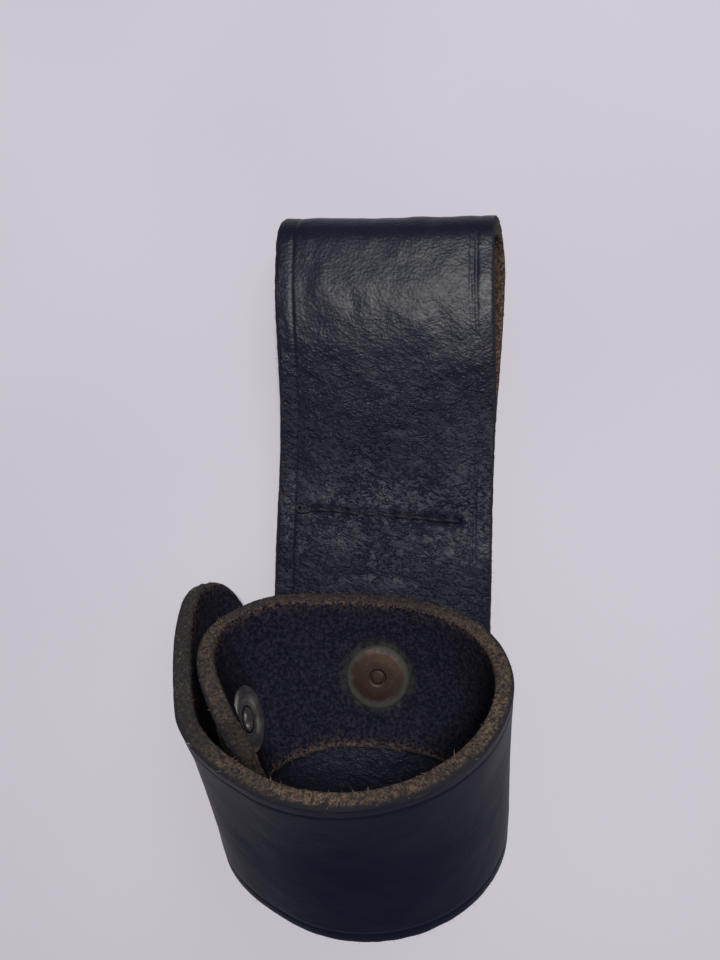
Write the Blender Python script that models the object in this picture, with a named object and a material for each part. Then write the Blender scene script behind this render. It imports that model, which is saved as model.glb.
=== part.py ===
"""Belt-worn leather ring holder: a folded hanger strap with a sewn belt loop, and a flared
leather ring riveted to it that closes on itself with a snap fastener.

The belt loop points along +Y, the ring hangs at the -Y end, and the hanger lies on its back on
the plane z = 0.  The origin is the middle of the hanger's flat back face.
"""
import math

import bmesh
import bpy
import numpy as np
from mathutils import Matrix, Vector

MM = 0.001

# ---------------------------------------------------------------- driving dimensions, metres
HANGER_WIDTH = 44.5 * MM        # a strap of 1 3/4 inch
HANGER_LEATHER = 3.8 * MM       # about 9 to 10 ounce leather
LAYER_GAP = 0.3 * MM            # between pieces or layers that touch on the real object
EDGE_CHAMFER = 0.5 * MM

RIVET_Y = -60.0 * MM            # the rivet, measured from the middle of the back face
SEAM_Y = RIVET_Y + 32.0 * MM    # the middle of the row of stitches under the belt loop
SEAM_X = -1.1 * MM              # the row is a little off centre
SEAM_SLANT = math.radians(-3.3)  # and sewn a little askew
BACK_END_Y = RIVET_Y + 23.0 * MM  # where the folded-back layer ends
TAB_END_Y = RIVET_Y - 28.0 * MM   # the hanger's free lower end
FOLD_TOP_Y = RIVET_Y + 95.0 * MM  # the outside of the fold
LOOP_HEIGHT = 16.2 * MM         # the loop's front face above the table, near the fold
LOOP_OPENS_Y = SEAM_Y + 4.0 * MM  # where the two layers start to part
FRONT_LEAN = -1.0 * MM          # the fold is a little askew: sideways shift of the front layer
BACK_LEAN = 2.3 * MM            # and of the back layer, at the fold

RING_LEATHER = 3.2 * MM
RING_HALF_WIDTH = (25.3 * MM, 28.5 * MM)      # right half, at the bottom edge and the top edge
RING_LEFT_NARROWING = 0.9 * MM                # how much less the left half bulges
RING_DEPTH = (40.2 * MM, 53.0 * MM)           # from the back wall to the front wall
RING_SAG = (math.radians(27.4), math.radians(25.4))   # each edge's plane leans to the -Y end
RING_BACK_Y = (-14.3 * MM, 16.3 * MM)         # the back wall's edges, from the rivet
RING_CENTRE_X = -2.4 * MM
RING_LEAN = -3.6 * MM                         # sideways lean of the ring over its height
RING_FLATNESS = 1.2                           # above 1 the back wall is flatter than an ellipse
BACK_LIFT = 2.5 * MM                          # the back wall's top edge stands off the hanger

INNER_END = -128.0              # degrees round the ring from the middle of the back wall
FLAP_START = 231.0              # where the free outer end can bend away
FLAP_END = 323.0                # the tip of its rounded tail
TAIL_ROUND = 29.0               # the tail's rounding, degrees of its run
SNAP_ANGLE = -77.0
SNAP_HEIGHT = 0.44              # fraction of the strap's width, from the bottom edge
SNAP_GAP = 1.6 * MM             # the snap keeps the two layers this far apart
SNAP_HOLD = (14.0, 0.30)        # how far round and up the strap the snap holds the free end
INNER_SHOULDER = 1.5 * MM       # the inner end bulges out beside the back wall
SHOULDER_FADE = 1.7             # which turns into a hollow towards the bottom edge
INNER_TUCK = 5.5 * MM           # and then tucks in under the outer end
OUTER_STEP = 1.3 * MM           # the outer end steps out over it
FLARE_START = 246.0             # from here the tail flares off the ring
TAIL_FLARE = 10.0 * MM          # by this much after FLARE_RUN more degrees
FLARE_RUN = 54.0
FLARE_SIDEWAYS = 0.5            # share of the flare that goes straight sideways
FLARE_LOW = 0.55                # share of the flare left at the bottom edge
TAIL_RISE = 2.1 * MM            # the tail also climbs towards the ring's top edge

RIVET_HEAD_RADIUS = 6.3 * MM
RIVET_HEAD_HEIGHT = 1.3 * MM
RIVET_SHANK_RADIUS = 1.8 * MM
BURR_RADIUS = 4.8 * MM
BURR_THICKNESS = 0.9 * MM
HOLE_CLEARANCE = 0.3 * MM

SNAP_FLANGE_RADIUS = 6.2 * MM
SNAP_CAP_RADIUS = 7.2 * MM

STITCH_COUNT = 10
STITCH_PITCH = 3.3 * MM
THREAD_RADIUS = 0.4 * MM
STITCH_HOLE_RADIUS = 1.0 * MM
GROOVE_WIDTH = 1.7 * MM
GROOVE_DEPTH = 1.3 * MM

ROUND_SEGMENTS = 40

# the lower part of the hanger slopes from the second layer's end down to the table
SLOPE = math.atan2(HANGER_LEATHER + LAYER_GAP, BACK_END_Y - TAB_END_Y)
RIVET_FACE_Z = (RIVET_Y - TAB_END_Y) * math.tan(SLOPE) + HANGER_LEATHER / math.cos(SLOPE)
RIVET_FRAME = Matrix.Translation((0, RIVET_Y, RIVET_FACE_Z)) @ Matrix.Rotation(SLOPE, 4, "X")
SEAM_FRAME = Matrix.Translation((SEAM_X, SEAM_Y, 0)) @ Matrix.Rotation(SEAM_SLANT, 4, "Z")


# ---------------------------------------------------------------- general helpers
def clear_scene():
    """Start from an empty scene."""
    for old in list(bpy.data.objects):
        bpy.data.objects.remove(old, do_unlink=True)


def material(name, colour, roughness, metallic=0.0):
    """A plain Principled material."""
    made = bpy.data.materials.new(name)
    made.use_nodes = True
    shader = made.node_tree.nodes["Principled BSDF"]
    shader.inputs["Base Color"].default_value = (*colour, 1.0)
    shader.inputs["Roughness"].default_value = roughness
    shader.inputs["Metallic"].default_value = metallic
    return made


def ease(start, end, value):
    """Smooth step from 0 at start to 1 at end."""
    t = np.clip((value - start) / (end - start), 0.0, 1.0)
    return t * t * (3 - 2 * t)


def add_object(name, mesh, finish, parent=None, local=Matrix.Identity(4), smooth=True):
    """Link a mesh as a named object, with its faces turned outward."""
    work = bmesh.new()
    work.from_mesh(mesh)
    bmesh.ops.recalc_face_normals(work, faces=work.faces)
    work.to_mesh(mesh)
    work.free()
    made = bpy.data.objects.new(name, mesh)
    bpy.context.scene.collection.objects.link(made)
    if finish:
        mesh.materials.append(finish)
    if parent:
        made.parent = parent
    made.matrix_local = local
    if smooth:
        mesh.shade_smooth()
    return made


def add_empty(name, local, parent=None):
    """An empty that carries a joint's moving pieces."""
    made = bpy.data.objects.new(name, None)
    bpy.context.scene.collection.objects.link(made)
    made.parent = parent
    made.matrix_local = local
    made.empty_display_size = 0.01
    return made


def loft(name, loops):
    """A closed mesh through a row of closed loops, capped at both ends.

    loops is an array of loop x point x coordinate; every loop has as many points.
    """
    count, around, _ = loops.shape
    ring = np.arange(around)
    base = np.arange(count - 1)[:, None] * around
    following = (ring + 1) % around
    quads = np.stack([base + ring, base + following, base + around + following,
                      base + around + ring], -1).reshape(-1, 4)
    faces = quads.tolist() + [ring[::-1].tolist(), ((count - 1) * around + ring).tolist()]
    mesh = bpy.data.meshes.new(name)
    mesh.from_pydata(loops.reshape(-1, 3).tolist(), [], faces)
    work = bmesh.new()
    work.from_mesh(mesh)
    bmesh.ops.triangulate(work, faces=work.faces)
    work.to_mesh(mesh)
    work.free()
    return mesh


def revolve(name, outline, segments=ROUND_SEGMENTS):
    """A closed solid of revolution about Z from (radius, height) points.

    An outline whose ends lie on the axis makes a solid body; any other outline is a closed
    loop of points and makes a ring.
    """
    work = bmesh.new()
    closed = outline[0][0] > 0
    points = [work.verts.new((radius, 0, height)) for radius, height in outline]
    pairs = list(zip(points, points[1:]))
    if closed:
        pairs.append((points[-1], points[0]))
    edges = [work.edges.new(pair) for pair in pairs]
    bmesh.ops.spin(work, geom=points + edges, axis=(0, 0, 1), cent=(0, 0, 0),
                   angle=math.tau, steps=segments, use_duplicate=False)
    bmesh.ops.remove_doubles(work, verts=work.verts, dist=1e-7)
    mesh = bpy.data.meshes.new(name)
    work.to_mesh(mesh)
    work.free()
    return mesh


def cut(target, name, outline, frame, parent):
    """Cut a turned hole, with any seats, about the Z axis of a frame.

    outline lists (radius, height) from the bottom of the hole to its top.
    """
    ends = [(0, outline[0][1]), *outline, (0, outline[-1][1])]
    cutter = add_object(name, revolve(name, ends), None, parent, frame, smooth=False)
    cutter.hide_render = True
    cutter.display_type = "WIRE"
    hole = target.modifiers.new(name, "BOOLEAN")
    hole.operation = "DIFFERENCE"
    hole.solver = "EXACT"
    hole.object = cutter


# ---------------------------------------------------------------- the hanger
def hanger_path():
    """Middle line of the hanger strap in the YZ plane, from its back end over the fold.

    Returns points, and for each one the sideways shift of the strap there.  The back layer
    lies on the table, the fold is a half turn that eases into the front layer, and the front
    layer comes down to the back layer above the seam and slopes to the table below it.
    """
    half = HANGER_LEATHER / 2
    fold_radius = (LOOP_HEIGHT - HANGER_LEATHER) / 2
    fold_y = FOLD_TOP_Y - half - fold_radius
    back_y = np.linspace(BACK_END_Y, fold_y, 24)
    back = np.stack([back_y, np.full_like(back_y, half)], 1)
    turn = np.linspace(-math.pi / 2, math.pi / 2, 19)[1:-1]
    fold = np.stack([fold_y + fold_radius * np.cos(turn),
                     half + fold_radius + fold_radius * np.sin(turn)], 1)
    front_y = np.linspace(fold_y, LOOP_OPENS_Y, 26)
    closed_z = half + HANGER_LEATHER + LAYER_GAP
    open_z = LOOP_HEIGHT - half
    front_z = closed_z + (open_z - closed_z) * ease(LOOP_OPENS_Y, fold_y - 6 * MM, front_y)
    front = np.stack([front_y, front_z], 1)
    flat_y = np.linspace(LOOP_OPENS_Y, BACK_END_Y + 1 * MM, 8)[1:]
    flat = np.stack([flat_y, np.full_like(flat_y, closed_z)], 1)
    slope_y = np.linspace(BACK_END_Y, TAB_END_Y, 22)[1:]
    slope_z = (slope_y - TAB_END_Y) * math.tan(SLOPE) + half / math.cos(SLOPE)
    slope = np.stack([slope_y, slope_z], 1)
    points = np.concatenate([back, fold, front, flat, slope])
    rise = ease(SEAM_Y, FOLD_TOP_Y - 10 * MM, points[:, 0])
    side = (points[:, 1] - half) / (2 * fold_radius)
    lean = BACK_LEAN + (FRONT_LEAN - BACK_LEAN) * np.clip(side, 0, 1)
    return points, rise * lean


def build_hanger(finish):
    """The one leather strap, folded over to make the belt loop."""
    points, shift = hanger_path()
    along = np.gradient(points, axis=0)
    along /= np.linalg.norm(along, axis=1)[:, None]
    normal = np.stack([along[:, 1], -along[:, 0]], 1)
    half_width, half = HANGER_WIDTH / 2, HANGER_LEATHER / 2
    inset = EDGE_CHAMFER
    across = [(-half_width + inset, half), (0, half), (half_width - inset, half),
              (half_width, half - inset), (half_width, -half + inset),
              (half_width - inset, -half), (0, -half), (-half_width + inset, -half),
              (-half_width, -half + inset), (-half_width, half - inset)]
    taper = np.ones(len(points))
    taper[-1], taper[-2] = 0.90, 0.98
    loops = []
    for x, depth in across:
        loops.append(np.column_stack([x * taper + shift, points + normal * depth]))
    strap = add_object("hanger_strap", loft("hanger_strap", np.stack(loops, 1)), finish)
    rivet_hole = RIVET_SHANK_RADIUS + HOLE_CLEARANCE
    cut(strap, "rivet_hole_hanger",
        [(rivet_hole, -2 * HANGER_LEATHER), (rivet_hole, HANGER_LEATHER)], RIVET_FRAME, None)
    for number in range(STITCH_COUNT + 1):
        frame = SEAM_FRAME @ Matrix.Translation((stitch_x(number), 0, 0))
        cut(strap, f"stitch_hole_{number}",
            [(STITCH_HOLE_RADIUS, -1 * MM), (STITCH_HOLE_RADIUS, 12 * MM)], frame, None)
    return strap


def cut_groove(strap):
    """The groove across the back face that the back thread lies in."""
    bpy.ops.mesh.primitive_cube_add(size=1)
    groove = bpy.context.object
    groove.name = "stitch_groove"
    size = (STITCH_COUNT * STITCH_PITCH + 3 * MM, GROOVE_WIDTH, 2 * GROOVE_DEPTH, 1)
    groove.matrix_world = SEAM_FRAME @ Matrix.Diagonal(size)
    groove.hide_render = True
    groove.display_type = "WIRE"
    made = strap.modifiers.new("stitch_groove", "BOOLEAN")
    made.operation = "DIFFERENCE"
    made.solver = "EXACT"
    made.object = groove


def stitch_x(number):
    """Where a needle hole lies along the seam."""
    return (number - STITCH_COUNT / 2) * STITCH_PITCH


def thread_mesh(name, face_z, outward):
    """A thread that runs over the leather between the holes and dips into each hole."""
    steps = 14 * STITCH_COUNT
    x = np.linspace(stitch_x(0), stitch_x(STITCH_COUNT), steps + 1)
    phase = (x - stitch_x(0)) / STITCH_PITCH * math.pi
    height = -0.1 * MM + 0.85 * MM * (np.sin(phase) ** 2) ** 0.6
    path = np.column_stack([x, np.zeros_like(x), face_z + outward * height])
    along = np.gradient(path, axis=0)
    along /= np.linalg.norm(along, axis=1)[:, None]
    across = np.array([0.0, 1.0, 0.0])
    upward = np.cross(along, across)
    angle = np.linspace(0, math.tau, 8, endpoint=False)[None, :, None]
    loops = path[:, None] + THREAD_RADIUS * (across * np.cos(angle)
                                             + upward[:, None] * np.sin(angle))
    return loft(name, loops)


# ---------------------------------------------------------------- the ring's surface
def inner_step(angle, height):
    """Outward step of the inner end: a shoulder, then a long tuck inwards."""
    shoulder = INNER_SHOULDER * (1 - SHOULDER_FADE * (1 - height)) * ease(-12, -42, angle)
    return shoulder - INNER_TUCK * ease(-62, -122, angle)


def snap_hold(angle, height):
    """1 where the snap holds the free end parallel to the inner end, and 0 away from it."""
    return np.exp(-((angle - SNAP_ANGLE - 360) / SNAP_HOLD[0]) ** 4
                  - ((height - SNAP_HEIGHT) / SNAP_HOLD[1]) ** 4)


def tail_flare(angle, height):
    """How far the tail stands off the ring: it grows as the square of the angle."""
    run = np.clip((angle - FLARE_START) / FLARE_RUN, 0, None)
    tall = FLARE_LOW + (1 - FLARE_LOW) * height
    return TAIL_FLARE * run ** 2 * tall * (1 - snap_hold(angle, height))


def overlap_step(angle, height):
    """Outward step of the strap's outer face from the ring's plain oval."""
    outer = OUTER_STEP * ease(205, 242, angle)
    at_snap = inner_step(angle - 360, height) + RING_LEATHER + SNAP_GAP
    outer = outer + snap_hold(angle, height) * (at_snap - outer)
    flare = (1 - FLARE_SIDEWAYS) * tail_flare(angle, height)
    return inner_step(angle, height) + outer + flare


def ring_face(angle, height, depth=0.0):
    """Points of the ring strap in the rivet's frame.

    angle is in degrees from the middle of the back wall, turning to the right, and height
    runs from 0 at the bottom edge to 1 at the top edge.  The outline at each height is an
    oval with a flattened back: across = half width x sin(angle), and the distance from the
    back wall = depth x sin(angle / 2) ** (2 x flatness).  Half width, depth, lean and sag
    change evenly from the bottom edge to the top edge.  depth moves a point into the leather.
    """
    angle, height = np.broadcast_arrays(np.asarray(angle, float), np.asarray(height, float))
    turn = np.radians(angle)
    half_width = RING_HALF_WIDTH[0] + (RING_HALF_WIDTH[1] - RING_HALF_WIDTH[0]) * height
    half_width = half_width - RING_LEFT_NARROWING * (np.sin(turn) < 0)
    reach = RING_DEPTH[0] + (RING_DEPTH[1] - RING_DEPTH[0]) * height
    sag = RING_SAG[0] + (RING_SAG[1] - RING_SAG[0]) * height
    back_y = RING_BACK_Y[0] + (RING_BACK_Y[1] - RING_BACK_Y[0]) * height
    lift = LAYER_GAP + BACK_LIFT * np.clip(2 * height - 1, 0, None) ** 2
    round_part = (1 - np.cos(turn)) / 2
    across = half_width * np.sin(turn)
    away = reach * round_part ** RING_FLATNESS
    slope = reach * RING_FLATNESS * np.maximum(round_part, 1e-9) ** (RING_FLATNESS - 1)
    slope = slope * np.sin(turn) / 2
    run = np.hypot(half_width * np.cos(turn), slope)
    step = overlap_step(angle, height) - depth
    across = across + step * slope / run
    away = away - step * half_width * np.cos(turn) / run
    across = across - FLARE_SIDEWAYS * tail_flare(angle, height)
    climb = TAIL_RISE * np.clip((angle - FLARE_START) / FLARE_RUN, 0, None) ** 2
    lean = RING_CENTRE_X + RING_LEAN * (height - 0.47)
    return np.stack([lean + across, back_y + climb - np.sin(sag) * away,
                     lift + np.cos(sag) * away], -1)


def ring_normal(angle, height):
    """Unit outward normal of the strap's outer face."""
    turn = 0.05
    rise = 0.002
    round_way = ring_face(angle + turn, height) - ring_face(angle - turn, height)
    up_way = ring_face(angle, height + rise) - ring_face(angle, height - rise)
    normal = np.cross(up_way, round_way)
    return normal / np.linalg.norm(normal, axis=-1, keepdims=True)


def ring_strap(name, angles, reach):
    """A stretch of the ring strap as a closed mesh.

    reach gives, for each angle, how much of the strap's half width is there: 1 along the
    strap, and less where the tail rounds off.
    """
    inset = EDGE_CHAMFER
    tuck = inset / 31e-3
    rows = np.linspace(tuck, 1 - tuck, 11)
    heights = np.concatenate([rows, [1, 1], rows[::-1], [0, 0]])
    depths = np.concatenate([np.zeros(11), [inset, RING_LEATHER - inset],
                             np.full(11, RING_LEATHER), [RING_LEATHER - inset, inset]])
    loops = []
    for height, depth in zip(heights, depths):
        place = 0.5 + (height - 0.5) * reach
        loops.append(ring_face(angles, place) - depth * ring_normal(angles, place))
    return loft(name, np.stack(loops, 1))


def snap_frame(angle, depth):
    """A frame on the strap at the snap: Z outward, Y along the ring's height."""
    point = np.asarray(ring_face(angle, SNAP_HEIGHT), float)
    normal = ring_normal(np.asarray(float(SNAP_ANGLE)), np.asarray(SNAP_HEIGHT))
    up = np.asarray(ring_face(angle, 0.8)) - np.asarray(ring_face(angle, 0.2))
    outward = Vector(normal).normalized()
    across = Vector(up).cross(outward).normalized()
    upward = outward.cross(across)
    turn = Matrix((across, upward, outward)).transposed().to_4x4()
    return Matrix.Translation(Vector(point) - outward * depth) @ turn


# ---------------------------------------------------------------- round hardware
def rivet_outline():
    """Flat rivet head inside the ring, shank through both leathers, peened end at the burr."""
    seat = LAYER_GAP + RING_LEATHER + LAYER_GAP
    top = seat + RIVET_HEAD_HEIGHT
    end = -(HANGER_LEATHER + LAYER_GAP + BURR_THICKNESS)
    edge = RIVET_HEAD_RADIUS
    return [(0, end - 0.3 * MM), (1.5 * MM, end - 0.3 * MM), (RIVET_SHANK_RADIUS, end),
            (RIVET_SHANK_RADIUS, seat), (edge - 0.2 * MM, seat), (edge, seat + 0.3 * MM),
            (edge - 0.5 * MM, top - 0.35 * MM), (edge * 0.6, top), (0, top)]


def burr_outline():
    """The washer that the shank is peened over."""
    top = -HANGER_LEATHER - LAYER_GAP
    bottom = top - BURR_THICKNESS
    hole = RIVET_SHANK_RADIUS + 0.1 * MM
    return [(hole, bottom), (BURR_RADIUS - 0.2 * MM, bottom), (BURR_RADIUS, top - 0.3 * MM),
            (BURR_RADIUS - 0.1 * MM, top), (hole, top)]


def build_snap(brass, steel, ring_pivot, flap_pivot, band, flap, flap_inverse):
    """The snap fastener: post and stud on the inner end, cap, socket and spring on the flap.

    Heights are along the snap's axis from the outer face of the inner end.
    """
    frame = snap_frame(SNAP_ANGLE, 0.0)
    on_flap = flap_inverse @ frame
    inner_face = -RING_LEATHER
    gap = SNAP_GAP
    flap_face = gap + RING_LEATHER
    seat_wall = 0.3 * MM

    post_seat = SNAP_FLANGE_RADIUS + seat_wall
    cut(band, "post_hole",
        [(post_seat, inner_face - 3 * MM), (post_seat, inner_face + 0.2 * MM),
         (2.2 * MM, inner_face + 0.2 * MM), (2.2 * MM, -0.6 * MM),
         (5.3 * MM, -0.6 * MM), (5.3 * MM, 3 * MM)], frame, ring_pivot)
    low = inner_face - 0.9 * MM
    post = [(0, low + 0.5 * MM), (2.2 * MM, low + 0.45 * MM), (3.4 * MM, low + 0.1 * MM),
            (4.6 * MM, low), (SNAP_FLANGE_RADIUS - 0.3 * MM, low + 0.25 * MM),
            (SNAP_FLANGE_RADIUS, low + 0.6 * MM), (SNAP_FLANGE_RADIUS - 0.2 * MM,
                                                   low + 0.8 * MM),
            (1.2 * MM, low + 0.85 * MM), (1.2 * MM, 1.2 * MM), (0, 1.2 * MM)]
    add_object("snap_post", revolve("snap_post", post), brass, ring_pivot, frame)
    stud = [(1.5 * MM, -2.4 * MM), (1.9 * MM, -2.4 * MM), (1.9 * MM, -0.3 * MM),
            (4.9 * MM, -0.3 * MM), (5.0 * MM, 0.1 * MM), (2.1 * MM, 0.3 * MM),
            (2.0 * MM, 1.1 * MM), (2.5 * MM, 1.5 * MM), (2.3 * MM, 1.9 * MM),
            (1.5 * MM, 2.0 * MM)]
    add_object("snap_stud", revolve("snap_stud", stud), brass, ring_pivot, frame)

    cap_seat = SNAP_CAP_RADIUS + seat_wall
    cut(flap, "cap_hole",
        [(6.1 * MM, gap - 3 * MM), (6.1 * MM, gap + 1.4 * MM), (1.9 * MM, gap + 1.4 * MM),
         (1.9 * MM, flap_face - 0.5 * MM), (cap_seat, flap_face - 0.5 * MM),
         (cap_seat, flap_face + 3 * MM)], on_flap, flap_pivot)
    roof = gap + 1.1 * MM
    socket = [(1.0 * MM, roof), (1.0 * MM, roof - 0.4 * MM), (4.0 * MM, roof - 0.4 * MM),
              (4.0 * MM, 0.9 * MM), (5.2 * MM, 0.75 * MM), (5.8 * MM, 1.0 * MM),
              (5.8 * MM, roof - 0.2 * MM), (5.5 * MM, roof)]
    add_object("snap_socket", revolve("snap_socket", socket), brass, flap_pivot, on_flap)
    wire, bend = 0.28 * MM, 3.4 * MM
    around = np.linspace(0, math.tau, 10, endpoint=False)
    height = 1.45 * MM
    spring = [(bend + wire * math.cos(a), height + wire * math.sin(a)) for a in around]
    add_object("snap_spring", revolve("snap_spring", spring), steel, flap_pivot, on_flap)
    base = flap_face - 0.2 * MM
    edge = SNAP_CAP_RADIUS
    cap = [(0, roof + 0.3 * MM), (1.5 * MM, roof + 0.3 * MM), (1.5 * MM, base),
           (edge - 0.2 * MM, base), (edge, base + 0.3 * MM), (edge - 0.4 * MM, base + 0.8 * MM),
           (edge * 0.7, base + 1.25 * MM), (edge * 0.35, base + 1.5 * MM), (0, base + 1.55 * MM)]
    add_object("snap_cap", revolve("snap_cap", cap), brass, flap_pivot, on_flap)


# ---------------------------------------------------------------- assembly
def build():
    """Make every piece of the holder."""
    clear_scene()
    leather = material("hanger_leather", (0.018, 0.020, 0.030), 0.42)
    ring_leather = material("ring_leather", (0.020, 0.021, 0.030), 0.45)
    thread = material("black_thread", (0.015, 0.015, 0.018), 0.7)
    copper = material("copper", (0.32, 0.16, 0.09), 0.5, 1.0)
    brass = material("aged_brass", (0.33, 0.29, 0.21), 0.38, 1.0)
    steel = material("spring_steel", (0.35, 0.35, 0.36), 0.3, 1.0)

    hanger = build_hanger(leather)
    cut_groove(hanger)
    face = 2 * HANGER_LEATHER + LAYER_GAP
    add_object("front_thread", thread_mesh("front_thread", face, 1), thread, None, SEAM_FRAME)
    back = thread_mesh("back_thread", GROOVE_DEPTH, -1)
    add_object("back_thread", back, thread, None, SEAM_FRAME)
    add_object("rivet", revolve("rivet", rivet_outline()), copper, None, RIVET_FRAME)
    add_object("rivet_burr", revolve("rivet_burr", burr_outline()), copper, None, RIVET_FRAME)

    ring_pivot = add_empty("ring_pivot", RIVET_FRAME)
    low = Vector(ring_face(FLAP_START + 0.3, 0.0))
    high = Vector(ring_face(FLAP_START + 0.3, 1.0))
    axis = (high - low).normalized()
    flap_local = Matrix.Translation((low + high) / 2) @ axis.to_track_quat("Z", "X").to_matrix().to_4x4()
    flap_pivot = add_empty("flap_pivot", flap_local, ring_pivot)
    flap_inverse = flap_local.inverted()

    band_angles = np.linspace(INNER_END, FLAP_START, 96)
    band_mesh = ring_strap("ring_band", band_angles, np.ones_like(band_angles))
    band = add_object("ring_band", band_mesh, ring_leather, ring_pivot)
    tail = np.linspace(0, math.pi / 2, 14)[1:-1]
    flap_angles = np.concatenate([
        np.linspace(FLAP_START + 0.6, FLAP_END - TAIL_ROUND, 26),
        FLAP_END - TAIL_ROUND * (1 - np.sin(tail))])
    reach = np.concatenate([np.ones(26), np.cos(tail)])
    flap_mesh = ring_strap("ring_flap", flap_angles, reach)
    flap = add_object("ring_flap", flap_mesh, ring_leather, flap_pivot, flap_inverse)

    rivet_hole = RIVET_SHANK_RADIUS + HOLE_CLEARANCE
    rivet_seat = RIVET_HEAD_RADIUS + 0.4 * MM
    seat_face = LAYER_GAP + RING_LEATHER
    cut(band, "rivet_hole_ring",
        [(rivet_hole, -2 * MM), (rivet_hole, seat_face), (rivet_seat, seat_face),
         (rivet_seat, 3 * RING_LEATHER)], Matrix.Identity(4), ring_pivot)
    build_snap(brass, steel, ring_pivot, flap_pivot, band, flap, flap_inverse)


build()
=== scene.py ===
"""A belt-worn leather ring holder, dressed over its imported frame.

Every shape is worked out as whole numpy arrays: a strap is a closed section carried along a
path, a round fitting is a turned outline, and a thread is a twisted section along a line.
"""
import math

import bmesh
import bpy
import numpy as np
from mathutils import Matrix, Vector


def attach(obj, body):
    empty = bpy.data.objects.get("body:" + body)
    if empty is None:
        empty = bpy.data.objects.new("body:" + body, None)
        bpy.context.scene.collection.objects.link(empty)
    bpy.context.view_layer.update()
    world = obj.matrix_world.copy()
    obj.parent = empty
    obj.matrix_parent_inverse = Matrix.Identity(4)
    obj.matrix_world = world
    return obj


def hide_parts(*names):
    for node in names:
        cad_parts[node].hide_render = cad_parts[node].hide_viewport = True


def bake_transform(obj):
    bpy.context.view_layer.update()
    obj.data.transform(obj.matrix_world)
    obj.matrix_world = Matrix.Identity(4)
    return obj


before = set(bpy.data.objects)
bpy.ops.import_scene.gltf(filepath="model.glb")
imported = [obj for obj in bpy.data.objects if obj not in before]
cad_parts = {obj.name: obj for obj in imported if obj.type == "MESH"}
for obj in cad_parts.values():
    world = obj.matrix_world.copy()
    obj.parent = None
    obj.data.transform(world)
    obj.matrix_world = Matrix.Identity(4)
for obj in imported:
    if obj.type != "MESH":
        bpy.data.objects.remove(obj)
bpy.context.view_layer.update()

# ---------------------------------------------------------------- sizes, metres and degrees
MM = 0.001
HANGER_WIDTH = 44.5 * MM
HANGER_LEATHER = 3.8 * MM
LAYER_GAP = 0.3 * MM
RIVET_Y = -60.0 * MM
SEAM_Y = RIVET_Y + 32.0 * MM
SEAM_X = -1.1 * MM
SEAM_SLANT = math.radians(-3.3)
BACK_END_Y = RIVET_Y + 23.0 * MM
TAB_END_Y = RIVET_Y - 28.0 * MM
FOLD_TOP_Y = RIVET_Y + 95.0 * MM
LOOP_HEIGHT = 16.2 * MM
LOOP_OPENS_Y = SEAM_Y + 4.0 * MM
FRONT_LEAN = -1.0 * MM
BACK_LEAN = 2.3 * MM
HANGER_CREASE = 3.6 * MM        # the pressed line runs this far in from each edge
END_CORNER = 3.2 * MM           # the lower end's corners are rounded by this much

RING_LEATHER = 3.2 * MM
RING_WIDTH = 31.0 * MM
RING_HALF_WIDTH = (25.3 * MM, 28.5 * MM)
RING_LEFT_NARROWING = 0.9 * MM
RING_DEPTH = (40.2 * MM, 53.0 * MM)
RING_SAG = (math.radians(27.4), math.radians(25.4))
RING_BACK_Y = (-14.3 * MM, 16.3 * MM)
RING_CENTRE_X = -2.4 * MM
RING_LEAN = -3.6 * MM
RING_FLATNESS = 1.2
BACK_LIFT = 2.5 * MM
RING_CREASE = 2.1 * MM

INNER_END = -128.0              # degrees round the ring from the middle of the back wall
FLAP_START = 231.0              # where the free outer end can bend away
FLAP_END = 323.0                # the tip of its rounded tail
TAIL_ROUND = 29.0               # the tail's rounding, degrees of its run
SNAP_ANGLE = -77.0
SNAP_HEIGHT = 0.44              # fraction of the strap's width, from the bottom edge
SNAP_GAP = 1.6 * MM             # the snap keeps the two layers this far apart
SNAP_HOLD = (14.0, 0.30)        # how far round and up the strap the snap holds the free end
INNER_SHOULDER = 1.5 * MM       # the inner end bulges out beside the back wall
SHOULDER_FADE = 1.7             # which turns into a hollow towards the bottom edge
INNER_TUCK = 5.5 * MM           # and then tucks in under the outer end
OUTER_STEP = 1.3 * MM           # the outer end steps out over it
FLARE_START = 246.0             # from here the tail flares off the ring
TAIL_FLARE = 10.0 * MM          # by this much after FLARE_RUN more degrees
FLARE_RUN = 54.0
FLARE_SIDEWAYS = 0.5            # share of the flare that goes straight sideways
FLARE_LOW = 0.55                # share of the flare left at the bottom edge
TAIL_RISE = 2.1 * MM            # the tail also climbs towards the ring's top edge

RIVET_HEAD_RADIUS = 6.3 * MM
RIVET_HEAD_HEIGHT = 1.3 * MM
RIVET_SHANK_RADIUS = 1.8 * MM
BURR_RADIUS = 4.8 * MM
BURR_THICKNESS = 0.9 * MM
HOLE_CLEARANCE = 0.3 * MM
SNAP_FLANGE_RADIUS = 6.2 * MM
SNAP_CAP_RADIUS = 7.2 * MM

STITCH_COUNT = 10
STITCH_PITCH = 3.3 * MM
SEAM_REACH = STITCH_COUNT * STITCH_PITCH / 2
THREAD_RADIUS = 0.42 * MM
GROOVE_DEPTH = 1.3 * MM

# how deep each mark goes into the leather, or stands out of it
HANGER_MARKS = {"line": 0.11 * MM, "swell": 0.16 * MM, "fold": 0.13 * MM, "nap": 0.07 * MM,
                "edge": 0.16 * MM, "bow": 0.28 * MM}
SEAM_MARKS = {"channel": 0.24 * MM, "hole": 0.85 * MM, "puff": 0.13 * MM, "torn": 0.40 * MM,
              "back_hole": 0.5 * MM}
RING_MARKS = {"line": 0.13 * MM, "swell": 0.10 * MM, "nap": 0.09 * MM, "edge": 0.24 * MM}

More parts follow.
